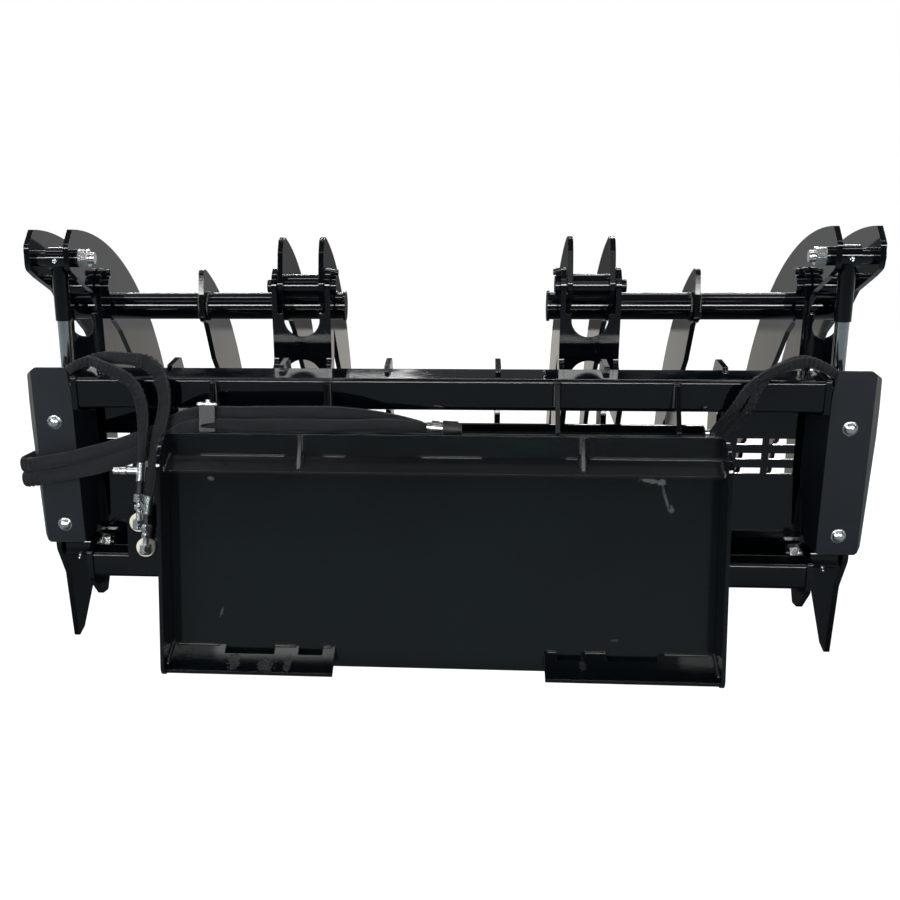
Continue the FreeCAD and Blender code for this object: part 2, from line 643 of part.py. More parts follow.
def middle_arm_tine(side):
    """Middle arm tine, drawn round the arm's pipe, which alone carries it."""
    edge = arm_edge(MIDDLE_SWEEP, 452, 262)
    tip = [(1046, 232, 10), (1026, 250)]
    inner = saw_edge([(996, 330), (925, 420), (826, 500), (722, 572)], 9)
    root = [(640, 612, 20), (548, 674, 30), (470, 762, 20), (428, 768, 14), (422, 830, 20),
            (426, 888, 14)]
    plate = side_plate(edge + tip + inner + root, ARM_MIDDLE_X)
    plate.translate(Vector(0, ARM_PIPE[0] - MIDDLE_PIPE[0], ARM_PIPE[1] - MIDDLE_PIPE[1]))
    hole = across(ARM_PIPE[0], ARM_PIPE[1], ARM_PIPE_RADIUS + WELD_FIT,
                  ARM_MIDDLE_X - PLATE, ARM_MIDDLE_X + PLATE)
    return mirrored(plate.cut(hole), side)


def arm_pipe(side):
    """Round pipe that carries the tines of one arm, capped at its inner end."""
    pipe = across(ARM_PIPE[0], ARM_PIPE[1], ARM_PIPE_RADIUS, ARM_PIPE_INNER, HALF_WIDTH)
    hollow = across(ARM_PIPE[0], ARM_PIPE[1], ARM_PIPE_RADIUS - ARM_PIPE_WALL,
                    ARM_PIPE_INNER, HALF_WIDTH)
    return mirrored(pipe.cut(hollow), side)


def arm_cap(side):
    cap = across(ARM_PIPE[0], ARM_PIPE[1], ARM_PIPE_RADIUS + 4, ARM_PIPE_INNER - 6, ARM_PIPE_INNER)
    return mirrored(cap, side)


def arm_boss(x_from, x_to, side):
    """Boss tube round the pivot pin, between two tines."""
    boss = across(PIVOT[0], PIVOT[1], BOSS_RADIUS, x_from, x_to)
    return mirrored(boss.cut(across(PIVOT[0], PIVOT[1], PIVOT_PIN + FIT, x_from, x_to)), side)


def rod_pin(side):
    """Rod pin in the arm's lobe: head outside, washer and hexagon nut inboard."""
    y, z = ROD_EYE
    inner = INNER_TINE_X - PLATE / 2
    pin = across(y, z, ROD_PIN, inner - 46, HALF_WIDTH)
    head = across(y, z, ROD_PIN + 6, HALF_WIDTH, HALF_WIDTH + 8)
    return mirrored(pin.fuse(head).removeSplitter(), side)


def rod_collar(side):
    """Collar on the inner tine's face, which the nut is tightened against."""
    y, z = ROD_EYE
    inner = INNER_TINE_X - PLATE / 2
    collar = across(y, z, ROD_PIN + 7.5, inner - ROD_COLLAR, inner)
    return mirrored(collar.cut(across(y, z, ROD_PIN + FIT, inner - ROD_COLLAR, inner)), side)


def rod_pin_nut(side):
    y, z = ROD_EYE
    start = INNER_TINE_X - PLATE / 2 - ROD_COLLAR
    return hex_nut(y, z, ROD_PIN + FIT, 36, start - 22, start, side)


# Cylinders, drawn along Z from the base pin and then turned onto their line
LINE_LONG = math.hypot(ROD_EYE[0] - BASE[0], ROD_EYE[1] - BASE[1])
LINE_TURN = math.degrees(math.atan2(BASE[0] - ROD_EYE[0], ROD_EYE[1] - BASE[1]))


def on_line(shape, side):
    """Put a shape drawn along Z from the origin on the cylinder's line."""
    shape = shape.copy()
    shape.rotate(Vector(0, 0, 0), ACROSS, LINE_TURN)
    shape.translate(Vector(CYLINDER_X, BASE[0], BASE[1]))
    return mirrored(shape, side)


def bar(radius, start, end):
    return Part.makeCylinder(radius, end - start, Vector(0, 0, start))


def cross_eye(radius, bore, half, at):
    """Eye tube square to the cylinder."""
    eye = Part.makeCylinder(radius, 2 * half, Vector(-half, 0, at), ACROSS)
    return eye.cut(Part.makeCylinder(bore, 2 * half, Vector(-half, 0, at), ACROSS))


def base_end(side):
    """Base eye and the cap that closes the barrel."""
    hole = Part.makeCylinder(BASE_EYE_BORE, 80, Vector(-40, 0, 0), ACROSS)
    cap = bar(BARREL_RADIUS, 15, BARREL_START).cut(hole)
    eye = cross_eye(BASE_EYE_RADIUS, BASE_EYE_BORE, 30, 0)
    return on_line(eye.fuse(cap).removeSplitter(), side)


def barrel(side):
    tube = bar(BARREL_RADIUS, BARREL_START, BARREL_END).cut(bar(BORE_RADIUS, BARREL_START, BARREL_END))
    return on_line(tube, side)


def gland(side):
    ring = bar(BARREL_RADIUS + 1.5, BARREL_END, GLAND_END - 8)
    nose = bar(BARREL_RADIUS - 4, GLAND_END - 8, GLAND_END)
    ring = ring.fuse(nose).removeSplitter().cut(bar(ROD_RADIUS + FIT, BARREL_END, GLAND_END))
    return on_line(ring, side)


def rod(side):
    """Plated rod with its piston."""
    stem = bar(ROD_RADIUS, PISTON_FROM, LINE_LONG - SLEEVE_LENGTH)
    piston = bar(BORE_RADIUS - FIT, PISTON_FROM, PISTON_FROM + PISTON_LONG)
    return on_line(stem.fuse(piston).removeSplitter(), side)


def rod_end(side):
    """Rod end: a sleeve on the rod with the cross tube that turns on the rod pin."""
    hole = Part.makeCylinder(ROD_PIN + FIT, 80, Vector(-40, 0, LINE_LONG), ACROSS)
    sleeve = bar(SLEEVE_RADIUS, LINE_LONG - SLEEVE_LENGTH, LINE_LONG).cut(hole)
    eye = cross_eye(ROD_EYE_RADIUS, ROD_PIN + FIT, 22, LINE_LONG)
    return on_line(eye.fuse(sleeve).removeSplitter(), side)


def rod_spacers(side):
    """Spacer tubes on the rod pin that hold the rod end in its place."""
    y, z = ROD_EYE
    eye_from = CYLINDER_X - 22
    eye_to = CYLINDER_X + 22
    tubes = []
    for x_from, x_to in ((INNER_TINE_X + PLATE / 2, eye_from - 0.4),
                         (eye_to + 0.4, OUTER_TINE_X - PLATE / 2)):
        tube = across(y, z, ROD_PIN + 5, x_from, x_to)
        tubes.append(mirrored(tube.cut(across(y, z, ROD_PIN + FIT, x_from, x_to)), side))
    return tubes


# Hoses and their fittings
def cord(points, radius):
    """Round hose along straight runs with an arc at each corner."""
    stops = [Vector(point) for point in points]
    edges = []
    here = stops[0]
    tightest = 1e9
    for before, corner, after in zip(stops, stops[1:], stops[2:]):
        back = before - corner
        ahead = after - corner
        run = CORD_ROUND * min(back.Length, ahead.Length)
        half = back.getAngle(ahead) / 2
        bisector = (back.normalize() + ahead.normalize()).normalize()
        bend = run * math.tan(half)
        tightest = min(tightest, bend)
        middle = corner + bisector * (run / math.cos(half) - bend)
        start = corner + back * run
        end = corner + ahead * run
        edges.append(Part.LineSegment(here, start).toShape())
        edges.append(Part.Arc(start, middle, end).toShape())
        here = end
    edges.append(Part.LineSegment(here, stops[-1]).toShape())
    path = Part.Wire(edges)
    profile = Part.Wire(Part.makeCircle(radius, stops[0], stops[1] - stops[0]))
    hose = path.makePipeShell([profile], True, False)
    share = hose.Volume / (math.pi * radius ** 2 * path.Length)
    print(f"hose {path.Length:.0f} long, tightest bend {tightest:.0f}, volume share {share:.3f}")
    return hose


def rod_between(start, end, radius):
    """Round bar from one point to another."""
    a = Vector(start)
    b = Vector(end)
    return Part.makeCylinder(radius, (b - a).Length, a, b - a)


def hose_end(points, long, radius):
    """Bar that carries on past the last point of a route, as a crimped ferrule does."""
    last = Vector(points[-1])
    way = (last - Vector(points[-2])).normalize()
    return rod_between(last, last + way * long, radius), last + way * long


def hose_bracket():
    """Angled plate that stands behind the lower tube and carries the two round ports."""
    front = BRACKET_Y + BRACKET_PLATE
    wall = Part.makeBox(BRACKET_X[1] - BRACKET_X[0], BRACKET_PLATE, BRACKET_Z[1] - BRACKET_Z[0],
                        Vector(BRACKET_X[0], BRACKET_Y, BRACKET_Z[0]))
    tube_low = lean(0, LOW_TUBE_LOW + TUBE_ROUND)
    tube_high = lean(0, LOW_TUBE_TOP - TUBE_ROUND)
    stops = [(front, BRACKET_Z[0]), tube_low, tube_high, (front, BRACKET_Z[1])]
    rib = side_plate(stops, BRACKET_X[1] - BRACKET_PLATE / 2, BRACKET_PLATE)
    return wall.fuse(rib).removeSplitter()


def port(route, z):
    """Ferrule, neck, nut, elbow and round port at the lower end of a hose."""
    ferrule, low = hose_end(route, FERRULE_LONG, FERRULE)
    turn = Vector(low.x - 6, low.y, z)
    pieces = [ferrule, rod_between(low, turn, NECK), Part.makeSphere(11, turn)]
    for share in (0.25, 0.55):
        at = low + (turn - low) * share
        pieces.append(rod_between(at, at + (turn - low).normalize() * 9, 9))
    pieces.append(rod_between(turn, (turn.x, BRACKET_Y, z), 8))
    pieces.append(rod_between((turn.x - 5, BRACKET_Y - 8, z), (turn.x - 5, BRACKET_Y, z), PORT_DISC))
    return pieces[0].fuse(pieces[1:]).removeSplitter()


def plugged_branch(route):
    """Short plugged branch beside the first hose's ferrule."""
    x, y, z = route[-1]
    body = across(y, z - 18, 9, x - FERRULE - 20, x - FERRULE)
    nuts = [across(y, z - 18, 10.5, x - FERRULE - 36, x - FERRULE - 24),
            across(y, z - 18, 9, x - FERRULE - 52, x - FERRULE - 39),
            across(y, z - 18, 6, x - FERRULE - 52, x - FERRULE - 10)]
    return body.fuse(nuts).removeSplitter()


def pocket_unions(routes, side):
    """Shelf on the inner side plate with an elbow for each hose, behind the guard's top."""
    u_from = GUARD_U + GUARD_SHEET + 1
    top = SHELF_W + SHELF
    shelf = lean_box(u_from, u_from + SHELF_DEEP, SHELF_W, top, POCKET_FROM, POCKET_FROM + SHELF_LONG)
    notch = lean_box(u_from - 1, u_from + SHELF_NOTCH, SHELF_W - 1, top + 1, POCKET_FROM - 1,
                     POCKET_FROM + SHELF_NOTCH)
    unions = [mirrored(shelf.cut(notch), side)]
    for route in routes:
        end = Vector(route[0])
        knee = end - (Vector(route[1]) - end).normalize() * STEM_LONG
        down = ((knee.z - FRAME_Z) * COS - (knee.y - FRAME_Y) * SIN) - top
        foot = knee - Vector(0, -SIN, COS) * down
        stem = rod_between(knee, end, 8)
        unions.append(stem.fuse([rod_between(foot, knee, 7), Part.makeSphere(9, knee)]).removeSplitter())
    return unions


def pipe_cap(routes):
    """Cap on the right end of the round pipe, with a nipple for each hose."""
    y, z = lean(PIPE_U, PIPE_W)
    cap = across(y, z, PIPE_RADIUS, PIPE_HALF, PIPE_HALF + 5)
    nipples = []
    for route in routes:
        end = Vector(route[-1])
        knee = end + (end - Vector(route[-2])).normalize() * 10
        foot = Vector(PIPE_HALF + 2, knee.y, knee.z)
        nipples += [rod_between(end, knee, 8), Part.makeSphere(9, knee), rod_between(foot, knee, 7)]
    return cap.fuse(nipples).removeSplitter()


def supply_ends(routes):
    """Elbows on the outer face of the left side plate, where the supply hoses end."""
    face = -OUTER_SIDE_X - PLATE / 2
    ends = []
    for route in routes:
        end = Vector(route[-1])
        knee = end + (end - Vector(route[-2])).normalize() * 14
        foot = Vector(face, knee.y, knee.z)
        pieces = [Part.makeSphere(10, knee), rod_between(knee + ACROSS * 30, knee, 9)]
        inboard = Part.makeBox(60, 80, 80, foot - Vector(0, 40, 40))
        ends.append(rod_between(end, knee, 10).fuse(pieces).cut(inboard).removeSplitter())
    return ends


def clamp():
    """Split block on the outer left brace round both supply hoses, under a bolted cap."""
    rear = LOADER_FACE + LOADER_PLATE - 2
    block = Part.makeBox(CLAMP_LONG, 34, CLAMP_TOP - CLAMP_LOW,
                         Vector(CLAMP_X - CLAMP_LONG / 2, rear, CLAMP_LOW))
    cap = Part.makeBox(CLAMP_LONG + 8, 38, CLAMP_CAP,
                       Vector(CLAMP_X - CLAMP_LONG / 2 - 4, rear - 2, CLAMP_TOP))
    bolt = Part.makeCylinder(6, 6, Vector(CLAMP_X, rear + 14, CLAMP_TOP + CLAMP_CAP))
    cuts = [brace(CLAMP_X)]
    cuts += [cord(route, SUPPLY_RADIUS + HOSE_FIT) for route in (SUPPLY_UPPER, SUPPLY_LOWER)]
    clear = side_plate([(rear + 34, CLAMP_LOW), (rear + 60, CLAMP_LOW), (rear + 60, 700), (rear + 34, 700)],
                       CLAMP_X, CLAMP_LONG + 20)
    pieces = block.fuse([cap, bolt]).removeSplitter().cut(cuts + [clear]).Solids
    return max(pieces, key=lambda piece: piece.Volume)


def coupler(route):
    """Quick coupler with its dust cap, on the free end of a supply hose."""
    end = Vector(route[0])
    way = (end - Vector(route[1])).normalize()
    stages = [(11, 0, 14), (15, 10, 26), (13, 26, 36), (16.5, 34, 66), (13, 66, 74)]
    solids = [rod_between(end + way * start, end + way * stop, radius) for radius, start, stop in stages]
    return solids[0].fuse(solids[1:]).removeSplitter()


# Writing the nodes
save("loader_plate", loader_plate())
save("loader_side_flanges", [loader_flange(side) for _, side in SIDES])
save("loader_top_hook", loader_hook())
save("loader_hook_gussets", [hook_gusset(side * HOOK_GUSSET_X) for _, side in SIDES])
save("loader_bottom_ledges", [loader_ledge(side) for _, side in SIDES])
save("top_cross_tube", square_tube(TOP_TUBE_DEEP, TOP_TUBE_TALL, TOP_TUBE_LOW))
save("lower_cross_tube", square_tube(LOW_TUBE, LOW_TUBE, LOW_TUBE_LOW))
save("round_cross_pipe", round_pipe())
save("tube_braces", [brace(side * x) for _, side in SIDES for x in BRACE_X])
for number, tine_x in enumerate([-x for x in reversed(LOWER_TINE_X)] + list(LOWER_TINE_X), 1):
    save(f"lower_tine_{number}", lower_tine(tine_x))
for word, side in SIDES:
    save("side_plate_outer_" + word, outer_side(side))
    save("side_plate_inner_" + word, inner_side(side))
    save("pivot_ears_" + word, [pivot_ear(side * x) for x in EAR_X])
    save("arm_pipe_" + word, [arm_pipe(side), arm_cap(side)])
    save("arm_pivot_bosses_" + word,
         [arm_boss(ARM_INNER_X[0] + PLATE / 2, ARM_INNER_X[1] - PLATE / 2, side),
          arm_boss(INNER_TINE_X + PLATE / 2, POCKET_TO - SIDE_GAP, side)])
    save("arm_inner_tines_" + word, [inner_arm_tine(x, side) for x in ARM_INNER_X])
    save("arm_middle_tine_" + word, middle_arm_tine(side))
    save("arm_outer_tines_" + word, [outer_arm_tine(x, side) for x in (INNER_TINE_X, OUTER_TINE_X)])
    save("rod_pin_" + word, [rod_pin(side), rod_collar(side)] + rod_spacers(side))
    save("rod_pin_nut_" + word, rod_pin_nut(side))
    save("cylinder_barrel_" + word, [barrel(side), gland(side), base_end(side)])
    save("cylinder_rod_" + word, rod(side))
    save("rod_end_" + word, rod_end(side))
save("side_panels", [side_panel(side) for _, side in SIDES])
save("cylinder_guards", [guard(side) for _, side in SIDES])
save("pivot_webs", [mirrored(web(EAR_X[0] + PLATE / 2, EAR_X[1] - PLATE / 2, WEB_LOW - 12), side)
                    for _, side in SIDES])
save("pocket_webs", [mirrored(web(POCKET_FROM, POCKET_TO, POCKET_WEB_LOW), side) for _, side in SIDES])
save("pivot_pins", [pin for _, side in SIDES for pin in pivot_pins(side)])
save("pivot_pin_keepers", [pin_keeper(x, side) for _, side in SIDES
                           for x in (EAR_X[0] - PLATE / 2, TUBE_HALF)])
save("cylinder_base_pins", [base_pin(side) for _, side in SIDES])
save("cylinder_base_nuts", [part for _, side in SIDES for part in (base_nut(side), base_washer(side))])
save("guard_straps", [guard_strap(w, side) for _, side in SIDES for w in GUARD_BOLT_W])
save("guard_bolts", [guard_bolt(w, side) for _, side in SIDES for w in GUARD_BOLT_W])
save("hose_supply_upper", cord(SUPPLY_UPPER, SUPPLY_RADIUS))
save("hose_supply_lower", cord(SUPPLY_LOWER, SUPPLY_RADIUS))
save("hose_left_rear", cord(LEFT_REAR, HOSE_RADIUS))
save("hose_left_front", cord(LEFT_FRONT, HOSE_RADIUS))
save("hose_right_rear", cord(RIGHT_REAR, HOSE_RADIUS))
save("hose_right_front", cord(RIGHT_FRONT, HOSE_RADIUS))
save("hose_bracket", hose_bracket())
save("quick_couplers", [coupler(SUPPLY_UPPER), coupler(SUPPLY_LOWER)])
save("hose_fittings", [port(LEFT_REAR, PORT_Z[0]), port(LEFT_FRONT, PORT_Z[1]), plugged_branch(LEFT_REAR),
                       pipe_cap([RIGHT_REAR, RIGHT_FRONT])]
     + pocket_unions([LEFT_REAR, LEFT_FRONT], -1) + pocket_unions([RIGHT_REAR, RIGHT_FRONT], 1)
     + supply_ends([SUPPLY_UPPER, SUPPLY_LOWER]) + [clamp()])
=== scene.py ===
# %% [markdown]
# # A root rake grapple, seen from the loader's seat
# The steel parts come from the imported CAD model. Here they get their paint, plating and
# wear, and the pieces that are soft or small are added: woven hose sleeves, weld beads,
# hose ends and grease nipples. Every number is in metres, in the model's frame: +X to
# the driver's right, +Y towards the tine tips, +Z up from the ground.

# %% Load the frame
import math
import bpy
from mathutils import Matrix, Vector


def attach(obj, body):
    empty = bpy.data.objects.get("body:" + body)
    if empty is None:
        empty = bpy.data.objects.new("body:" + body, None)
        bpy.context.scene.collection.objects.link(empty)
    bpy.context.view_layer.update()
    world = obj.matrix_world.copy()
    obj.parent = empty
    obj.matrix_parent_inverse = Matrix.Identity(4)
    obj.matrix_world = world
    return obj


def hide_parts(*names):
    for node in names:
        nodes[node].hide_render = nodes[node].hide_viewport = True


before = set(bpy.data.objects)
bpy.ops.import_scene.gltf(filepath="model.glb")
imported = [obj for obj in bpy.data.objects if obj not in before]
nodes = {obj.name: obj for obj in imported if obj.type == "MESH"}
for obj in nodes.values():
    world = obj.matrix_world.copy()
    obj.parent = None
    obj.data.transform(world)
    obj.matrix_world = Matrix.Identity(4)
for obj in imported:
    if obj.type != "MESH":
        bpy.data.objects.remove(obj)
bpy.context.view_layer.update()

# %% [markdown]
# ## Camera
# The photograph was taken standing behind the loader plate, a little right of the
# middle and slightly above the top tube, so the plate's rear face fills the picture and
# the floor is seen at a flat angle. The lens and place were worked out from the plate's
# known width and from how fast the tines shrink with distance.

# %% Camera
camera_data = bpy.data.cameras.new("camera")
camera = bpy.data.objects.new("camera", camera_data)
bpy.context.scene.collection.objects.link(camera)
camera.location = (0.07, -2.9444, 0.818)
camera.rotation_euler = (math.radians(82.8), 0.0, math.radians(4.6))
camera_data.sensor_width = 36.0
camera_data.lens = 47.52
camera_data.shift_x = (450 - 379) / 900
bpy.context.scene.camera = camera
bpy.context.scene.view_settings.view_transform = "Standard"
print("camera lens", camera_data.lens)

# %% [markdown]
# ## Hose sleeves
# Each hose runs inside a woven nylon sleeve, which lies flat like a belt where the hose
# lets it. A curve with a round bevel would look like a bare rubber hose, so the line is a
# smooth spline and the sleeve is a tube swept along it: wide and thin in section, with a
# sewn edge, and gathered into small pleats where the hose bends.

# %% Spline and sleeve helpers
def deselect():
    """Nothing selected, so that the next operator acts on its own piece alone."""
    if bpy.context.object and bpy.context.object.mode != "OBJECT":
        bpy.ops.object.mode_set(mode="OBJECT")
    bpy.ops.object.select_all(action="DESELECT")


def spline_line(points):
    """Points along the smooth spline that has these control points."""
    data = bpy.data.curves.new("line", "CURVE")
    data.dimensions = "3D"
    data.resolution_u = 24
    spline = data.splines.new("NURBS")
    spline.points.add(len(points) - 1)
    for knot, point in zip(spline.points, points):
        knot.co = (*point, 1.0)
    spline.order_u = 3
    spline.use_endpoint_u = True
    holder = bpy.data.objects.new("line", data)
    bpy.context.scene.collection.objects.link(holder)
    bpy.context.view_layer.update()
    mesh = bpy.data.meshes.new_from_object(holder)
    line = [vertex.co.copy() for vertex in mesh.vertices]
    bpy.data.objects.remove(holder)
    bpy.data.meshes.remove(mesh)
    return line


def even_steps(line, step):
    """The same line with a point every step, and the distance of each."""
    total = sum((b - a).length for a, b in zip(line, line[1:]))
    count = max(8, round(total / step))
    out = [line[0].copy()]
    target = total / count
    gone = 0.0
    for a, b in zip(line, line[1:]):
        length = (b - a).length
        while length and gone + length >= target * len(out) - 1e-9 and len(out) < count:
            out.append(a.lerp(b, (target * len(out) - gone) / length))
        gone += length
    out.append(line[-1].copy())
    return out, total


def along(profile, share):
    """Value of a profile of (share, width, thickness) stops at this share of the length."""
    for (s0, w0, t0), (s1, w1, t1) in zip(profile, profile[1:]):
        if share <= s1:
            k = (share - s0) / (s1 - s0)
            k = k * k * (3 - 2 * k)
            return w0 + (w1 - w0) * k, t0 + (t1 - t0) * k
    return profile[-1][1:]


def sleeve(name, points, profile, facing):
    """Flat woven sleeve along a hose. facing is where its broad side looks at the start."""
    line, total = even_steps(spline_line(points), 0.004)
    around = 28
    tangents = [(line[min(i + 1, len(line) - 1)] - line[max(i - 1, 0)]).normalized()
                for i in range(len(line))]
    bends = []
    for i in range(len(line)):
        before = tangents[max(i - 2, 0)]
        after = tangents[min(i + 2, len(line) - 1)]
        bends.append(before.angle(after, 0.0) / 0.016)
    thin = Vector(facing)
    vertices = []
    places = []
    for i, (centre, tangent) in enumerate(zip(line, tangents)):
        thin = (thin - tangent * thin.dot(tangent)).normalized()
        wide = tangent.cross(thin)
        width, thick = along(profile, i / (len(line) - 1))
        travel = total * i / (len(line) - 1)
        pleat = min(1.0, bends[i] * 0.07) * 0.0014 * math.sin(travel * 2 * math.pi / 0.0125)
        ends = min(travel, total - travel)
        pinch = 1.0 - 0.30 * math.exp(-(ends / 0.012) ** 2)
        slack = 1.0 + 0.05 * math.sin(travel * 31.0 + len(name)) * math.sin(travel * 13.0)
        for k in range(around):
            angle = 2 * math.pi * k / around
            c, s = math.cos(angle), math.sin(angle)
            square = (abs(c) ** 2.7 + abs(s) ** 2.7) ** (-1 / 2.7)
            a = square * c * (width / 2 * pinch * slack + pleat)
            b = square * s * abs(s) ** 0.3 * (thick / 2 * pinch / slack + pleat * 1.4)
            vertices.append(centre + wide * a + thin * b)
            places.append((k / around, travel))
    faces = []
    for i in range(len(line) - 1):
        for k in range(around):
            n = (k + 1) % around
            faces.append((i * around + n, i * around + k, (i + 1) * around + k, (i + 1) * around + n))
    faces.append(tuple(range(around)))
    last = (len(line) - 1) * around
    faces.append(tuple(last + k for k in reversed(range(around))))
    mesh = bpy.data.meshes.new(name)
    mesh.from_pydata(vertices, [], faces)
    uv = mesh.uv_layers.new(name="UVMap")
    for face in mesh.polygons:
        for corner, vertex in zip(face.loop_indices, face.vertices):
            u, v = places[vertex]
            if len(face.vertices) == 4 and u == 0.0 and any(places[w][0] > 0.9 for w in face.vertices):
                u = 1.0
            uv.data[corner].uv = (u, v * 10)
        face.use_smooth = len(face.vertices) == 4
    piece = bpy.data.objects.new(name, mesh)
    bpy.context.scene.collection.objects.link(piece)
    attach(piece, "frame")
    widths = sorted(along(profile, i / 40)[0] for i in range(41))
    print(name, "length", round(total, 3))
    return piece


# %% [markdown]
# ## The six hoses
# Two supply hoses lie in the trough between the loader plate and the top tube, go round
# the left guard like a belt and end in elbows on the outer side plate. Each cylinder has
# two more, which arch over the end of the frame. Their routes are the CAD routes.

# %% Lay the hoses
supply_upper = [(-0.0300, -0.4134, 0.5450), (-0.1100, -0.4224, 0.5650), (-0.2000, -0.4534, 0.5800),
                (-0.3000, -0.4574, 0.5810), (-0.4000, -0.4564, 0.5780), (-0.4800, -0.4574, 0.5800),
                (-0.5480, -0.4484, 0.5740), (-0.6120, -0.4174, 0.5360), (-0.6900, -0.4054, 0.5050),
                (-0.8000, -0.3874, 0.4730), (-0.9950, -0.3694, 0.4370), (-0.9150, -0.2154, 0.4680)]
supply_lower = [(-0.0300, -0.4484, 0.5510), (-0.1150, -0.4534, 0.5560), (-0.2050, -0.4614, 0.5520),
                (-0.3000, -0.4624, 0.5550), (-0.4000, -0.4624, 0.5510), (-0.4800, -0.4634, 0.5540),
                (-0.5520, -0.4574, 0.5480), (-0.6120, -0.4154, 0.5030), (-0.6900, -0.4034, 0.4720),
                (-0.8000, -0.3854, 0.4400), (-0.9920, -0.3654, 0.4040), (-0.9150, -0.2134, 0.4340)]
left_rear = [(-0.8410, -0.3720, 0.6525), (-0.7880, -0.3834, 0.6935), (-0.7180, -0.4284, 0.6700),
             (-0.6560, -0.4334, 0.6380), (-0.6390, -0.4394, 0.5600), (-0.6490, -0.4394, 0.4680)]
left_front = [(-0.8410, -0.3519, 0.6564), (-0.7850, -0.3594, 0.6900), (-0.7000, -0.3874, 0.6930),
              (-0.6180, -0.4274, 0.6840), (-0.5860, -0.4434, 0.6100), (-0.6180, -0.4434, 0.4950),
              (-0.6330, -0.4394, 0.3940)]
right_rear = [(0.8410, -0.3720, 0.6525), (0.7900, -0.3844, 0.6900), (0.7200, -0.4244, 0.6870),
              (0.6400, -0.4364, 0.6480), (0.6060, -0.4294, 0.5830), (0.5850, -0.3554, 0.5380)]
right_front = [(0.8410, -0.3519, 0.6564), (0.7900, -0.3604, 0.6900), (0.7300, -0.3924, 0.6920),
               (0.6640, -0.4264, 0.6560), (0.6350, -0.4224, 0.5700), (0.5980, -0.3354, 0.5140)]
belt = [(0, 0.026, 0.018), (0.12, 0.030, 0.016), (0.55, 0.031, 0.014), (0.66, 0.033, 0.013), (1, 0.031, 0.013)]
fold = [(0, 0.024, 0.015), (0.3, 0.027, 0.013), (0.46, 0.036, 0.014), (0.64, 0.034, 0.014), (1, 0.025, 0.017)]
flat = [(0, 0.022, 0.015), (0.3, 0.023, 0.014), (0.5, 0.031, 0.013), (0.7, 0.030, 0.013), (1, 0.023, 0.017)]
slim = [(0, 0.022, 0.014), (1, 0.022, 0.013)]
sleeves = {
    "hose_supply_upper": sleeve("sleeve_supply_upper", supply_upper, belt, (0, -1, 0)),
    "hose_supply_lower": sleeve("sleeve_supply_lower", supply_lower, belt, (0, -1, 0)),
    "hose_left_rear": sleeve("sleeve_left_rear", left_rear, flat, (0, -1, 0.2)),
    "hose_left_front": sleeve("sleeve_left_front", left_front, fold, (0, -1, 0.2)),
    "hose_right_rear": sleeve("sleeve_right_rear", right_rear, slim, (0, -1, 0.2)),
    "hose_right_front": sleeve("sleeve_right_front", right_front, slim, (0, -1, 0.2)),
}
for node_name, piece in sleeves.items():
    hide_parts(node_name)
print("sleeves:", len(sleeves))

# %% [markdown]
# ## Floor and light
# A workshop photograph cut out on white: big pale surfaces in front of the tines, a
# darker room behind the camera. Black gloss paint shows mostly what it reflects, so the
# light is mainly a question of what the paint can see. The world is bright ahead of the
# grapple and dim behind the camera, and two wide lamps hang above.

# %% Shader helpers
class Wire:
    """A socket of a node tree, so that shader sums can be written as plain Python."""

    def __init__(self, tree, socket):
        self.tree = tree
        self.socket = socket

    def sum(self, operation, first, second=None, clamp=False):
        made = self.tree.nodes.new("ShaderNodeMath")
        made.operation = operation
        made.use_clamp = clamp
        for slot, value in zip(made.inputs, (first, second)):
            connect(self.tree, value, slot)
        return Wire(self.tree, made.outputs[0])

    def __add__(self, other):
        return self.sum("ADD", self, other)

    def __sub__(self, other):
        return self.sum("SUBTRACT", self, other)

    def __mul__(self, other):
        return self.sum("MULTIPLY", self, other)

    def __truediv__(self, other):
        return self.sum("DIVIDE", self, other)

    def __rsub__(self, other):
        return self.sum("SUBTRACT", other, self)

    __radd__ = __add__
    __rmul__ = __mul__

    def clamped(self):
        return self.sum("ADD", self, 0.0, clamp=True)

    def up_to(self, other):
        return self.sum("MINIMUM", self, other)

    def at_least(self, other):
        return self.sum("MAXIMUM", self, other)

    def wave(self):
        return self.sum("SINE", self)

    def size(self):
        return self.sum("ABSOLUTE", self)

    def step(self, low, high):
        """0 below low, 1 above high, smooth between them."""
        return node(self.tree, "ShaderNodeMapRange", {"interpolation_type": "SMOOTHSTEP"},
                    {"Value": self, "From Min": low, "From Max": high})


def connect(tree, value, socket):
    """Give a socket a wire or a plain value."""
    if value is None:
        return
    if isinstance(value, Wire):
        tree.links.new(value.socket, socket)
    elif hasattr(socket.default_value, "__len__") and not hasattr(value, "__len__"):
        socket.default_value = [value] * len(socket.default_value)
    elif hasattr(value, "__len__") and len(socket.default_value) == 4 and len(value) == 3:
        socket.default_value = (*value, 1.0)
    else:
        socket.default_value = value


def node(tree, kind, settings=None, inputs=None, output=0):
    """Any node: its settings first, then the values or wires of its sockets."""
    made = tree.nodes.new(kind)
    for key, value in (settings or {}).items():
        if key == "stops":
            ramp = made.color_ramp.elements
            while len(ramp) < len(value):
                ramp.new(0.5)
            for stop, (place, shade) in zip(ramp, value):
                stop.position = place
                stop.color = (*shade, 1.0)
        else:
            setattr(made, key, value)
    for key, value in (inputs or {}).items():
        found = [s for s in made.inputs if s.enabled and (s.name == key or s.identifier == key)]
        connect(tree, value, found[0])
    outs = [s for s in made.outputs if s.enabled]
    if isinstance(output, str):
        return Wire(tree, [s for s in outs if s.name == output][0])
    return Wire(tree, outs[output])


def blend(tree, factor, first, second):
    """Colour between two colours."""
    return node(tree, "ShaderNodeMix", {"data_type": "RGBA"}, {"Factor": factor, "A": first, "B": second})


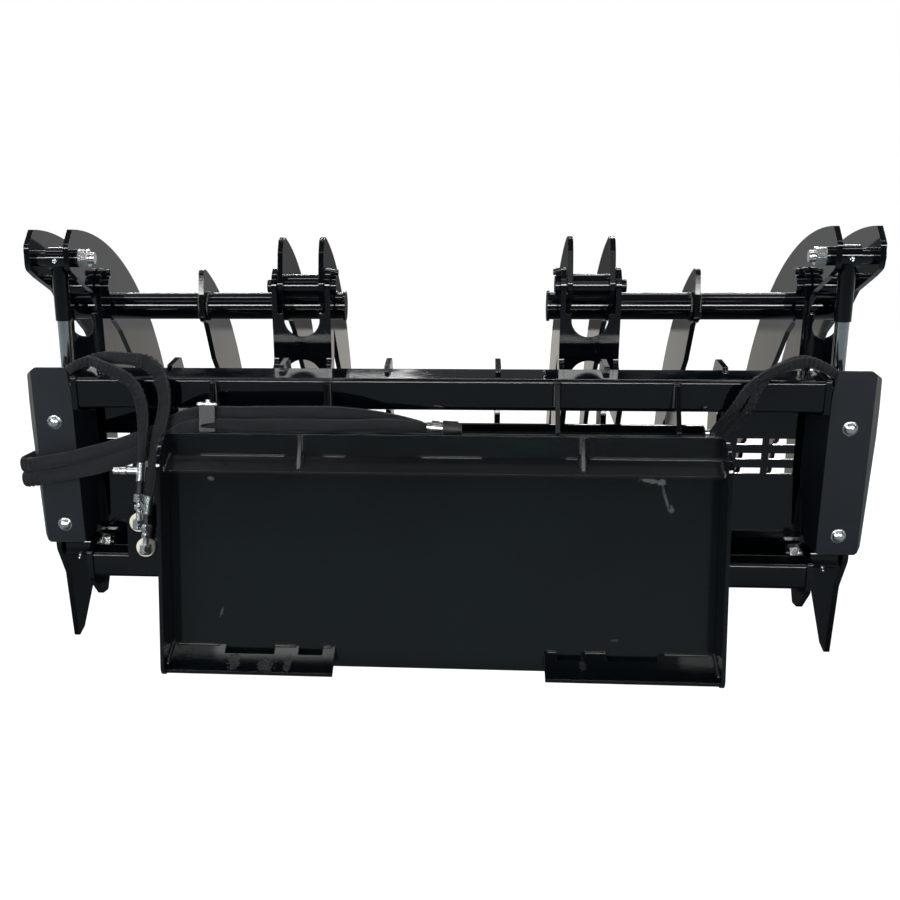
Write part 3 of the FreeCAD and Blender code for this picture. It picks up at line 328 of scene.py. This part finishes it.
def new_finish(name):
    """Empty material with its output and Principled shader."""
    material = bpy.data.materials.new(name)
    material.use_nodes = True
    tree = material.node_tree
    tree.nodes.clear()
    shader = tree.nodes.new("ShaderNodeBsdfPrincipled")
    output = tree.nodes.new("ShaderNodeOutputMaterial")
    tree.links.new(shader.outputs[0], output.inputs[0])
    return material, tree, shader


def here(tree):
    """Object coordinates, and their three parts."""
    spot = node(tree, "ShaderNodeTexCoord", output="Object")
    split = tree.nodes.new("ShaderNodeSeparateXYZ")
    tree.links.new(spot.socket, split.inputs[0])
    return spot, Wire(tree, split.outputs[0]), Wire(tree, split.outputs[1]), Wire(tree, split.outputs[2])


def noise(tree, spot, scale, detail=2.0, roughness=0.5, distortion=0.0):
    return node(tree, "ShaderNodeTexNoise", None, {"Vector": spot, "Scale": scale, "Detail": detail,
                "Roughness": roughness, "Distortion": distortion}, "Fac")


def bump(tree, height, distance, strength=1.0, normal=None):
    return node(tree, "ShaderNodeBump", None, {"Height": height, "Distance": distance,
                "Strength": strength, "Normal": normal})


def patch(tree, x, z, centre_x, centre_z, half_x, half_z, ragged):
    """1 inside a ragged oval on the loader plate's rear face, 0 outside."""
    across = (x - centre_x) / half_x
    along = (z - centre_z) / half_z
    return (1.0 - (across * across + along * along + ragged)).step(0.0, 0.25)


print("shader helpers ready")

# %% Floor
def stage_plane(name, size, place):
    deselect()
    bpy.ops.mesh.primitive_plane_add(size=size, location=place)
    plane = bpy.context.object
    plane.name = name
    bpy.ops.object.transform_apply(location=True, rotation=True, scale=True)
    return plane


def pale_floor():
    """White to the camera with a soft shadow, duller and darker to the rear in reflections."""
    material = bpy.data.materials.new("pale_floor")
    material.use_nodes = True
    tree = material.node_tree
    tree.nodes.clear()
    spot, x, y, z = here(tree)
    ray = tree.nodes.new("ShaderNodeLightPath")
    seen = (Wire(tree, ray.outputs["Is Camera Ray"]) + Wire(tree, ray.outputs["Is Transmission Ray"])).clamped()
    mirrored = Wire(tree, ray.outputs["Is Glossy Ray"])
    ahead = y.step(0.9, 3.0)
    rear = y.step(-5.0, -0.6)
    floor_glow = 0.09 + rear * 0.19 + ahead * 0.24
    tone = blend(tree, ahead, (0.84, 1.0, 1.06), (1.0, 0.965, 0.89))
    tone = blend(tree, seen, tone, (1.0, 1.0, 1.0))
    # Painted shadow: in reflections the floor's glow is dimmed in a box under the grapple, standing in for the
    # grapple's shadow.
    painted_floor_shadow = (1.0 - x.size().step(0.85, 1.15)) * y.step(-0.75, -0.35) * (1.0 - y.step(0.9, 1.6))
    strength = seen * 1.34 + (1.0 - seen) * floor_glow * (1.0 - painted_floor_shadow * 0.85)
    paint = node(tree, "ShaderNodeBsdfDiffuse", None, {"Color": (0.42, 0.42, 0.42)})
    light = node(tree, "ShaderNodeEmission", None, {"Color": tone, "Strength": strength})
    share = (seen * 0.82 + mirrored * (1.0 - seen)).clamped()
    mixed = node(tree, "ShaderNodeMixShader", None, {"Fac": share})
    tree.links.new(paint.socket, mixed.socket.node.inputs[1])
    tree.links.new(light.socket, mixed.socket.node.inputs[2])
    output = tree.nodes.new("ShaderNodeOutputMaterial")
    tree.links.new(mixed.socket, output.inputs[0])
    return material


floor = stage_plane("floor", 60.0, (0, 0, -0.0005))
floor.data.materials.append(pale_floor())
print("floor ready")

# %% Lamps
def lamp(name, place, target, size, power, colour=(1.0, 1.0, 1.0)):
    data = bpy.data.lights.new(name, "AREA")
    data.shape = "RECTANGLE"
    data.size, data.size_y = size
    data.energy = power
    data.color = colour
    holder = bpy.data.objects.new(name, data)
    bpy.context.scene.collection.objects.link(holder)
    holder.location = place
    aim = Vector(target) - Vector(place)
    holder.rotation_euler = aim.to_track_quat("-Z", "Y").to_euler()
    holder.visible_glossy = name == "left_soft"
    return holder


lamp("ceiling_soft", (0.0, -0.3, 3.4), (0, -0.2, 0.4), (4.5, 2.2), 38.0)
lamp("ceiling_ahead", (0.0, 2.4, 3.0), (0, 0.2, 0.5), (4.0, 0.6), 19.0)
lamp("left_soft", (-3.0, -3.2, 1.6), (-0.8, -0.4, 0.4), (1.6, 1.6), 29.0, (0.94, 0.98, 1.0))
print("lamps:", 3)

# %% World
world = bpy.data.worlds.new("room")
bpy.context.scene.world = world
world.use_nodes = True
air = world.node_tree
air.nodes.clear()
rays = air.nodes.new("ShaderNodeLightPath")
seen_rays = (Wire(air, rays.outputs["Is Camera Ray"]) + Wire(air, rays.outputs["Is Transmission Ray"])).clamped()
shiny_rays = Wire(air, rays.outputs["Is Glossy Ray"])
sky = air.nodes.new("ShaderNodeSeparateXYZ")
air.links.new(node(air, "ShaderNodeTexCoord", output="Generated").socket, sky.inputs[0])
to_x, to_y, to_z = (Wire(air, sky.outputs[number]) for number in range(3))


def strip(middle, half, brightness):
    """A row of ceiling lights along X, where the way up leans this far ahead."""
    lean = to_y / to_z.at_least(0.05)
    run = to_x / to_z.at_least(0.05)
    row = 1.0 - (lean - middle).size().step(half * 0.8, half)
    lights = ((run * 5.2 + middle * 9.0).wave() + 0.75).step(0.0, 0.08)
    return row * lights * to_z.step(0.10, 0.14) * brightness


ahead = to_y.step(-0.2, 0.8)
overhead = to_z.step(0.10, 0.85)
aside = to_x.size().step(0.10, 0.35)
mirror_light = 0.02 + ahead * (0.05 + aside * 0.42) + overhead * 0.06
mirror_light = mirror_light + strip(-0.20, 0.05, 8.0) + strip(0.70, 0.07, 9.0) + strip(-1.15, 0.06, 3.0)
mirror_light = mirror_light + strip(1.9, 0.14, 30.0)
doors = (1.0 - (to_z - 0.095).size().step(0.046, 0.052)) * (1.0 - to_y.step(-0.75, -0.7))
middle = (1.0 - (to_x - 0.02).size().step(0.09, 0.12)) * to_z.step(-0.12, -0.05) * (1.0 - to_z.step(0.5, 0.6))
panels = (to_x - 0.44).size().step(0.045, 0.06) * (to_x + 0.62).size().step(0.06, 0.08)
mirror_light = mirror_light + doors * 24.0
mirror_light = mirror_light + ((1.0 - panels) * 0.55 + middle * 0.7) * (1.0 - to_y.step(-0.3, -0.2))
plain_light = 0.22
strength = seen_rays + (1.0 - seen_rays) * (shiny_rays * mirror_light + (1.0 - shiny_rays) * plain_light)
glow = node(air, "ShaderNodeBackground", None, {"Color": (1.0, 1.0, 1.0), "Strength": strength})
air_output = air.nodes.new("ShaderNodeOutputWorld")
air.links.new(glow.socket, air_output.inputs[0])
print("stage set")

# %% [markdown]
# ## Gloss black powder coat
# The frame is steel under baked powder paint: very dark, slightly blue, glossy, with a
# faint orange peel from the powder's flow. Nothing on it is one flat tone, so the colour
# drifts a little, dust settles on what looks up, and the roughness varies in soft clouds.

# %% Black paint
def black_paint(name, colour, rough, marks=None, edge=0.0018):
    """Gloss powder coat. marks(tree, x, y, z, spot) adds its own scuffs."""
    material, tree, shader = new_finish(name)
    spot, x, y, z = here(tree)
    clouds = noise(tree, spot, 5.0, 3.0, 0.6)
    fine = noise(tree, spot, 60.0, 2.0, 0.5)
    peel = noise(tree, spot, 420.0, 1.0, 0.5)
    up = Wire(tree, tree.nodes.new("ShaderNodeSeparateXYZ").outputs[2])
    shape = tree.nodes.new("ShaderNodeNewGeometry")
    tree.links.new(shape.outputs["Normal"], up.socket.node.inputs[0])
    dust = up.step(0.87, 0.98) * clouds.step(0.42, 0.68)
    shade = blend(tree, clouds.step(0.3, 0.75), colour, [c * 1.35 + 0.0006 for c in colour])
    shade = blend(tree, dust * 0.30, shade, (0.030, 0.032, 0.034))
    gloss = rough + clouds * 0.03 + fine * 0.01 + dust * 0.10
    height = peel * 0.5
    if marks:
        worn, worn_shade, raised = marks(tree, x, y, z, spot)
        shade = blend(tree, worn, shade, worn_shade)
        gloss = gloss + worn * 0.25
        height = height + worn * raised
    tree.links.new(shade.socket, shader.inputs["Base Color"])
    tree.links.new(gloss.socket, shader.inputs["Roughness"])
    edges = node(tree, "ShaderNodeBevel", {"samples": 4}, {"Radius": edge})
    relief = bump(tree, height, 0.0004, 0.13, edges)
    tree.links.new(relief.socket, shader.inputs["Normal"])
    shader.inputs["Specular IOR Level"].default_value = 0.5
    return material


def plate_marks(tree, x, y, z, spot):
    """Scuffs on the loader plate: one large smear, a long scratch and small nicks."""
    ragged = (noise(tree, spot, 150.0, 6.0, 0.75) - 0.46) * 5.5
    broken = (noise(tree, spot, 260.0, 5.0, 0.75) - 0.44) * 6.0
    worn = patch(tree, x, z, 0.434, 0.448, 0.022, 0.008, ragged)
    worn = worn.at_least(patch(tree, x, z, 0.455, 0.444, 0.013, 0.007, ragged))
    worn = worn.at_least(patch(tree, x + (z - 0.41) * 0.3, z, 0.4665, 0.41, 0.0035, 0.034, broken) * 0.7)
    worn = worn.at_least(patch(tree, x, z, 0.479, 0.388, 0.005, 0.010, ragged) * 0.7)
    worn = worn.at_least(patch(tree, x, z, -0.4867, 0.442, 0.008, 0.005, ragged) * 0.7)
    worn = worn.at_least(patch(tree, x - (z - 0.15) * 0.35, z, -0.468, 0.150, 0.003, 0.012, ragged) * 0.8)
    worn = worn.at_least(patch(tree, x, z, 0.370, 0.106, 0.010, 0.004, broken) * 0.6)
    return worn.clamped(), (0.085, 0.090, 0.094), 0.4


def ledge_marks(tree, x, y, z, spot):
    """Paint rubbed through where the loader's wedges and lip have touched."""
    ragged = (noise(tree, spot, 170.0, 6.0, 0.75) - 0.45) * 6.0
    worn = patch(tree, x, z, -0.435, 0.055, 0.014, 0.016, ragged)
    worn = worn.at_least(patch(tree, x, z, -0.365, 0.050, 0.020, 0.012, ragged))
    worn = worn.at_least(patch(tree, x, z, -0.320, 0.052, 0.010, 0.014, ragged))
    worn = worn.at_least(patch(tree, x, z, 0.300, 0.060, 0.010, 0.008, ragged) * 0.6)
    return worn.clamped() * 0.8, (0.060, 0.064, 0.067), 0.3


paint = black_paint("gloss_black_powder_coat", (0.0034, 0.0056, 0.0088), 0.025)
plate_paint = black_paint("loader_plate_black", (0.0046, 0.0082, 0.0094), 0.10, plate_marks)
ledge_paint = black_paint("wedge_ledge_black", (0.0034, 0.0056, 0.0078), 0.08, ledge_marks)
# Painted light: the hook strip's black is lighter than the loader plate's, standing in for the light that its upward
# slope catches.
hook_paint_painted_light = black_paint("hook_strip_black_painted_light", (0.0100, 0.0122, 0.0136), 0.14)
guard_paint = black_paint("guard_satin_black", (0.0072, 0.0104, 0.0150), 0.36)
print("black paints ready")

# %% [markdown]
# ## Chrome and zinc
# The cylinder rods are hard chrome, drawn to a mirror with hair lines along the rod. The
# bolts, nuts and hose fittings are zinc plated: softer, greyer and a little cloudy.

# %% Bright metals
def chrome():
    material, tree, shader = new_finish("hard_chrome")
    spot, x, y, z = here(tree)
    streak = node(tree, "ShaderNodeMapping", None, {"Vector": spot, "Scale": (420.0, 420.0, 6.0)})
    lines = noise(tree, streak, 1.0, 2.0, 0.6)
    film = noise(tree, spot, 18.0, 3.0, 0.6)
    shade = blend(tree, film.step(0.35, 0.7), (0.70, 0.71, 0.72), (0.58, 0.59, 0.60))
    tree.links.new(shade.socket, shader.inputs["Base Color"])
    gloss = 0.06 + lines * 0.05 + film * 0.04
    tree.links.new(gloss.socket, shader.inputs["Roughness"])
    tree.links.new(bump(tree, lines, 0.00003, 0.1).socket, shader.inputs["Normal"])
    shader.inputs["Metallic"].default_value = 1.0
    return material


def zinc(name, bright, dull, tint=None, shine=0.95):
    """Zinc plate. tint(tree, x, y, z) gives a mask and a colour for painted or warm spots."""
    material, tree, shader = new_finish(name)
    spot, x, y, z = here(tree)
    bloom = noise(tree, spot, 70.0, 4.0, 0.65)
    grain = noise(tree, spot, 900.0, 1.0, 0.5)
    shade = blend(tree, bloom.step(0.35, 0.7), bright, dull)
    metal = shine
    gloss = 0.13 + bloom * 0.16 + grain * 0.04
    if tint:
        for mask, colour, metallic, rough in tint(tree, x, y, z):
            shade = blend(tree, mask, shade, colour)
            metal = mask * metallic + (1.0 - mask) * metal
            gloss = mask * rough + (1.0 - mask) * gloss
    tree.links.new(shade.socket, shader.inputs["Base Color"])
    connect(tree, metal, shader.inputs["Metallic"])
    tree.links.new(gloss.socket, shader.inputs["Roughness"])
    edges = node(tree, "ShaderNodeBevel", {"samples": 4}, {"Radius": 0.0007})
    tree.links.new(bump(tree, grain, 0.0002, 0.25, edges).socket, shader.inputs["Normal"])
    return material


def fitting_tints(tree, x, y, z):
    """The clamp's body is dark plastic, and the round ports are warm cast metal."""
    clamp = (x.step(-0.5170, -0.5165) * (1.0 - x.step(-0.4735, -0.4730)) * (1.0 - z.step(0.5968, 0.5972))
             * z.step(0.52, 0.53) * (1.0 - y.step(-0.42, -0.41)))
    ports = (1.0 - x.step(-0.61, -0.60)) * x.step(-0.70, -0.69) * (1.0 - y.step(-0.4125, -0.4120)) \
        * y.step(-0.4215, -0.4210) * (1.0 - z.step(0.36, 0.37))
    black = (z.step(0.600, 0.601) * (1.0 - x.size().step(0.88, 0.89)) * x.size().step(0.80, 0.81)
             * (1.0 - z.step(0.632, 0.634)))
    pipe = (1.0 - x.step(0.5655, 0.5660)) * x.step(0.55, 0.555)
    return [(clamp, (0.004, 0.011, 0.012), 0.0, 0.34), (ports, (0.50, 0.47, 0.38), 0.85, 0.40),
            (black, (0.010, 0.012, 0.014), 0.0, 0.35), (pipe, (0.009, 0.011, 0.013), 0.0, 0.32)]


def coupler_tints(tree, x, y, z):
    """Rubber dust caps on the zinc quick couplers."""
    cap = x.step(0.0035, 0.0045)
    return [(cap, (0.012, 0.013, 0.014), 0.0, 0.55)]


def pin_tints(tree, x, y, z):
    """The rod pin is painted, and only its thread beyond the nut is bare zinc."""
    return [(x.size().step(0.8020, 0.8030), (0.0036, 0.0056, 0.0086), 0.0, 0.12)]


rod_chrome = chrome()
bolt_zinc = zinc("zinc_plate", (0.80, 0.81, 0.82), (0.58, 0.59, 0.60))
fitting_zinc = zinc("zinc_hose_fittings", (0.82, 0.83, 0.83), (0.60, 0.61, 0.61), fitting_tints)
coupler_zinc = zinc("zinc_quick_couplers", (0.80, 0.81, 0.82), (0.56, 0.57, 0.58), coupler_tints)
pin_zinc = zinc("rod_pin_finish", (0.80, 0.81, 0.82), (0.58, 0.59, 0.60), pin_tints)
print("metals ready")

# %% [markdown]
# ## Woven sleeve
# Heavy nylon webbing sewn into a tube: charcoal, matt, with a fine plain weave, a sewn
# seam that shows as a paler line close to one edge, and fuzz that lifts the colour at
# flat angles. The weave follows the sleeve, so it reads the sleeve's own UV map: u goes
# round it, and ten units of v are one metre along it.

# %% Sleeve finish
def woven():
    material, tree, shader = new_finish("charcoal_woven_nylon")
    spot, x, y, z = here(tree)
    uv = node(tree, "ShaderNodeTexCoord", output="UV")
    split = tree.nodes.new("ShaderNodeSeparateXYZ")
    tree.links.new(uv.socket, split.inputs[0])
    u = Wire(tree, split.outputs[0])
    v = Wire(tree, split.outputs[1])
    warp = (u * (2 * math.pi * 44)).wave()
    weft = (v * (2 * math.pi * 55)).wave()
    weave = warp * weft
    seam = (1.0 - (u - 0.085).size().step(0.012, 0.034)).at_least(1.0 - (u - 0.415).size().step(0.012, 0.034))
    hem = (u - 0.5).size().step(0.455, 0.485)
    stitch = seam * (0.65 + (v * (2 * math.pi * 28)).wave() * 0.35)
    rub = noise(tree, spot, 34.0, 4.0, 0.65)
    wide = noise(tree, spot, 9.0, 2.0, 0.5)
    shade = blend(tree, (rub * 0.7 + wide * 0.3).step(0.3, 0.75), (0.0026, 0.0040, 0.0056),
                  (0.0080, 0.0106, 0.0134))
    shade = blend(tree, stitch * 0.8, shade, (0.085, 0.094, 0.102))
    shade = blend(tree, hem * 0.5, shade, (0.050, 0.056, 0.062))
    tree.links.new(shade.socket, shader.inputs["Base Color"])
    gloss = 0.62 + rub * 0.2
    tree.links.new(gloss.socket, shader.inputs["Roughness"])
    relief = bump(tree, weave * 0.3 + seam * 1.8 + rub * 1.6, 0.0010, 0.8)
    tree.links.new(relief.socket, shader.inputs["Normal"])
    shader.inputs["Sheen Weight"].default_value = 0.05
    shader.inputs["Specular IOR Level"].default_value = 0.35
    shader.inputs["Sheen Roughness"].default_value = 0.4
    return material


sleeve_cloth = woven()
for piece in sleeves.values():
    piece.data.materials.append(sleeve_cloth)
print("sleeve finish ready")

# %% [markdown]
# ## Dress the CAD nodes
# Every steel node keeps its own mesh and takes one of the finishes above.

# %% Assign finishes
special = {"loader_plate": plate_paint, "loader_bottom_ledges": ledge_paint, "loader_top_hook": hook_paint_painted_light,
           "cylinder_guards": guard_paint, "cylinder_rod_left": rod_chrome, "cylinder_rod_right": rod_chrome,
           "guard_bolts": bolt_zinc, "rod_pin_left": pin_zinc, "rod_pin_right": pin_zinc, "rod_pin_nut_left": bolt_zinc, "rod_pin_nut_right": bolt_zinc,
           "cylinder_base_nuts": bolt_zinc, "hose_fittings": fitting_zinc, "quick_couplers": coupler_zinc}
for name, piece in nodes.items():
    finish = special.get(name, paint)
    if piece.data.materials:
        for number in range(len(piece.data.materials)):
            piece.data.materials[number] = finish
    else:
        piece.data.materials.append(finish)
print("dressed", len(nodes), "nodes")

# %% [markdown]
# ## Weld beads
# The plates are joined by hand-laid welds, which show as rows of small overlapping
# scales. One scale is modelled as a flattened cap, an array lays it along the seam, and
# the row is turned into its place before its transform is applied.

# %% Weld finish and helper
# Painted highlight: the weld black is lighter than the frame's, standing in for the glints that the beads catch.
weld_paint_painted_highlight = black_paint("weld_black_painted_highlight", (0.0070, 0.0085, 0.0105), 0.02, edge=0.0003)


def weld(name, start, end, up, body="frame", scale=0.0062):
    """A row of weld scales from start to end, rising towards up."""
    start, end, up = Vector(start), Vector(end), Vector(up).normalized()
    along = end - start
    pitch = scale * 0.72
    count = max(3, round(along.length / pitch))
    deselect()
    bpy.ops.mesh.primitive_uv_sphere_add(segments=12, ring_count=8, radius=scale)
    row = bpy.context.object
    row.name = name
    bpy.ops.object.mode_set(mode="EDIT")
    bpy.ops.mesh.select_all(action="SELECT")
    bpy.ops.transform.resize(value=(0.72, 0.9, 0.62))
    bpy.ops.transform.rotate(value=0.30, orient_axis="Y", center_override=(0, 0, 0))
    bpy.ops.mesh.bisect(plane_co=(0, 0, -scale * 0.25), plane_no=(0, 0, 1), clear_inner=True, use_fill=True)
    bpy.ops.object.mode_set(mode="OBJECT")
    bpy.ops.object.shade_smooth()
    array = row.modifiers.new("row", "ARRAY")
    array.use_relative_offset = False
    array.use_constant_offset = True
    array.constant_offset_displace = (along.length / count, 0, 0)
    array.count = count
    bpy.ops.object.modifier_apply(modifier="row")
    side = up.cross(along).normalized()
    lift = along.normalized().cross(side)
    turn = Matrix((along.normalized(), side, lift)).transposed().to_4x4()
    row.matrix_world = Matrix.Translation(start + along.normalized() * scale) @ turn
    bpy.ops.object.transform_apply(location=True, rotation=True, scale=True)
    row.data.materials.clear()
    row.data.materials.append(weld_paint_painted_highlight)
    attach(row, body)
    return row


# %% Lay the welds
def mm(x, y, z):
    """A point in metres from millimetres, y counted from the loader plate's rear edge."""
    return (x / 1000, (y - 561.4) / 1000, z / 1000)


seams = [
    ("weld_hook_1", mm(-510, 79, 492), mm(-330, 79, 492), (0, -1, 1)),
    ("weld_hook_2", mm(-250, 79, 492), mm(-205, 79, 492), (0, -1, 1)),
    ("weld_hook_3", mm(-42, 79, 492), mm(83, 79, 492), (0, -1, 1)),
    ("weld_hook_4", mm(258, 79, 492), mm(282, 79, 492), (0, -1, 1)),
    ("weld_hook_5", mm(306, 79, 492), mm(572, 79, 492), (0, -1, 1)),
]
for side in (-1, 1):
    word = "left" if side < 0 else "right"
    gusset = side * 294
    seams += [
        (f"weld_gusset_out_{word}", mm(gusset + side * 4.5, 79, 496), mm(gusset + side * 4.5, 79, 531), (side, -1, 0)),
        (f"weld_gusset_in_{word}", mm(gusset - side * 4.5, 79, 496), mm(gusset - side * 4.5, 79, 531), (-side, -1, 0)),
        (f"weld_gusset_low_{word}", mm(gusset - side * 4.5, 50, 474), mm(gusset - side * 4.5, 74, 488), (-side, -0.4, 1)),
        (f"weld_gusset_side_{word}", mm(gusset + side * 4.5, 50, 474), mm(gusset + side * 4.5, 74, 488), (side, -0.4, 1)),
        (f"weld_strip_end_{word}", mm(side * 575.5, 42, 469), mm(side * 575.5, 78, 491), (-side, -0.5, 1)),
        (f"weld_strip_tip_{word}", mm(side * 575.5, 34, 457), mm(side * 575.5, 34, 466), (-side, -1, 0)),
        (f"weld_ledge_end_{word}", mm(side * 575.5, 24, 46), mm(side * 575.5, 76, 79), (-side, -0.5, 1)),
        (f"weld_ledge_seam_{word}", mm(side * 470, 79, 80), mm(side * 560, 79, 80), (0, -1, 1)),
        (f"weld_ledge_inner_{word}", mm(side * 226, 79, 80), mm(side * 244, 79, 80), (0, -1, 1)),
        (f"weld_ledge_mid_{word}", mm(side * 304, 79, 80), mm(side * 348, 79, 80), (0, -1, 1)),
    ]
for side in (-1, 1):
    word = "left" if side < 0 else "right"
    for brace in (245.0, 495.0):
        for face, hand in ((-5.5, "in"), (5.5, "out")):
            x = side * (brace + face)
            seams.append((f"weld_brace_{hand}_{brace:.0f}_{word}", mm(x, 166, 586), mm(x, 156, 640),
                          (math.copysign(1, face) * side, -1, 0)))
for name, start, end, up in seams:
    weld(name, start, end, up)
print("welds:", len(seams))

# %% [markdown]
# Each rake tine of an arm is slipped over the arm's pipe and welded all round. The same
# scale is spun about the pipe's axis to lay that ring.

# %% Weld rings on the arm pipes
def weld_ring(name, x, body, radius=0.03175, scale=0.0058):
    """A ring of weld scales round an arm's pipe at this x."""
    centre = Vector(mm(x, 467.8, 803.9))
    count = 44
    deselect()
    bpy.ops.mesh.primitive_uv_sphere_add(segments=10, ring_count=6, radius=scale,
                                         location=centre + Vector((0, -radius, 0)))
    ring = bpy.context.object
    ring.name = name
    bpy.ops.object.transform_apply(location=True, rotation=True, scale=True)
    bpy.ops.object.mode_set(mode="EDIT")
    bpy.ops.mesh.select_all(action="SELECT")
    middle = centre + Vector((0, -radius, 0))
    bpy.ops.transform.resize(value=(0.9, 0.62, 0.75), center_override=middle)
    bpy.ops.mesh.bisect(plane_co=middle, plane_no=(0, 1, 0), clear_outer=True, use_fill=True)
    bpy.ops.mesh.select_all(action="SELECT")
    bpy.ops.mesh.spin(steps=count - 1, dupli=True, angle=2 * math.pi * (count - 1) / count,
                      center=centre, axis=(1, 0, 0))
    bpy.ops.object.mode_set(mode="OBJECT")
    bpy.ops.object.shade_smooth()
    ring.data.materials.clear()
    ring.data.materials.append(weld_paint_painted_highlight)
    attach(ring, body)
    return ring


rings = 0
for side in (-1, 1):
    word = "left" if side < 0 else "right"
    for x in (386.5, 571.0, 589.0, 811.5):
        weld_ring(f"weld_ring_{x:.0f}_{word}", side * x, f"arm_{word}")
        rings += 1
print("weld rings:", rings)

# %% [markdown]
# ## Small zinc pieces
# Hose ends are screwed together with hexagon nuts, and every greased pin has a nipple.
# A nut starts as a six-sided bar: its end face is inset and raised into the turned
# collar, and the corners are broken with a bevel. A nipple is a short stem with a ball.

# %% Nut and nipple
def place(piece, where, way, body, finish, slot):
    """Turn a piece's Z to a direction, put it in place, and make that its own mesh."""
    turn = Vector(way).normalized().to_track_quat("Z", "X").to_matrix().to_4x4()
    piece.matrix_world = Matrix.Translation(Vector(where)) @ turn
    deselect()
    piece.select_set(True)
    bpy.context.view_layer.objects.active = piece
    bpy.ops.object.transform_apply(location=True, rotation=True, scale=True)
    piece.data.materials.clear()
    piece.data.materials.append(finish)
    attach(piece, body)


def pick(piece, test):
    """Select the faces whose centre passes the test, in face mode."""
    bpy.ops.object.mode_set(mode="EDIT")
    bpy.ops.mesh.select_mode(type="FACE")
    bpy.ops.mesh.select_all(action="DESELECT")
    bpy.ops.object.mode_set(mode="OBJECT")
    for face in piece.data.polygons:
        face.select = test(face)
    bpy.ops.object.mode_set(mode="EDIT")


def hex_nut(name, where, way, flats, tall, finish=None, slot="zinc"):
    deselect()
    bpy.ops.mesh.primitive_cylinder_add(vertices=6, radius=flats / math.sqrt(3), depth=tall)
    nut = bpy.context.object
    nut.name = name
    pick(nut, lambda face: abs(face.normal.z) > 0.9)
    bpy.ops.mesh.inset(thickness=flats * 0.09, use_individual=True)
    bpy.ops.mesh.extrude_region_shrink_fatten(TRANSFORM_OT_shrink_fatten={"value": tall * 0.09})
    bpy.ops.object.mode_set(mode="OBJECT")
    edge = nut.modifiers.new("corners", "BEVEL")
    edge.width = flats * 0.04
    edge.segments = 2
    bpy.ops.object.modifier_apply(modifier="corners")
    place(nut, where, way, "frame", finish or bolt_zinc, slot)
    return nut


def nipple(name, where, way, body):
    deselect()
    bpy.ops.mesh.primitive_cylinder_add(vertices=12, radius=0.0046, depth=0.006)
    stem = bpy.context.object
    stem.name = name
    pick(stem, lambda face: face.normal.z > 0.9)
    bpy.ops.mesh.inset(thickness=0.0022)
    for rise, grow in ((0.004, 1.0), (0.0012, 1.5), (0.0024, 1.0), (0.0014, 0.55)):
        bpy.ops.mesh.extrude_region_move(TRANSFORM_OT_translate={"value": (0, 0, rise)})
        bpy.ops.transform.resize(value=(grow, grow, 1))
    bpy.ops.object.mode_set(mode="OBJECT")
    bpy.ops.object.shade_smooth_by_angle(angle=math.radians(50))
    place(stem, where, way, body, bolt_zinc, "zinc")
    return stem


for side in (-1, 1):
    word = "left" if side < 0 else "right"
    nipple(f"grease_nipple_rod_{word}", (side * 0.8505, -0.3715, 0.9020), (0, -1, 0.1), f"rod_{word}")
    nipple(f"grease_nipple_base_{word}", (side * 0.8505, -0.2651, 0.2248), (0, -0.6, -0.8), f"barrel_{word}")
print("nipples: 4")

# %% Hose ends on the left
collar_black = black_paint("hose_collar_black", (0.006, 0.007, 0.009), 0.30)
ports = {"first": ((-0.6525, -0.4394, 0.4282), (-0.6585, -0.4394, 0.3320)),
         "second": ((-0.6389, -0.4378, 0.3545), (-0.6449, -0.4378, 0.2760))}
for word, (top, low) in ports.items():
    top, low = Vector(top), Vector(low)
    way = low - top
    hex_nut(f"hose_swivel_{word}", top + way * 0.40, way, 0.023, 0.015)
    hex_nut(f"hose_lock_nut_{word}", top + way * 0.62, way, 0.019, 0.008)
    hex_nut(f"hose_elbow_{word}", low, way, 0.0235, 0.020)
    deselect()
    bpy.ops.mesh.primitive_cylinder_add(vertices=24, radius=0.0092, depth=way.length * 0.30)
    collar = bpy.context.object
    collar.name = f"hose_collar_{word}"
    pick(collar, lambda face: abs(face.normal.z) > 0.9)
    bpy.ops.mesh.inset(thickness=0.0015, use_individual=True)
    bpy.ops.mesh.extrude_region_shrink_fatten(TRANSFORM_OT_shrink_fatten={"value": 0.0008})
    bpy.ops.object.mode_set(mode="OBJECT")
    bpy.ops.object.shade_smooth_by_angle(angle=math.radians(40))
    place(collar, top + way * 0.16, way, "frame", collar_black, "black")
print("hose ends: 2")
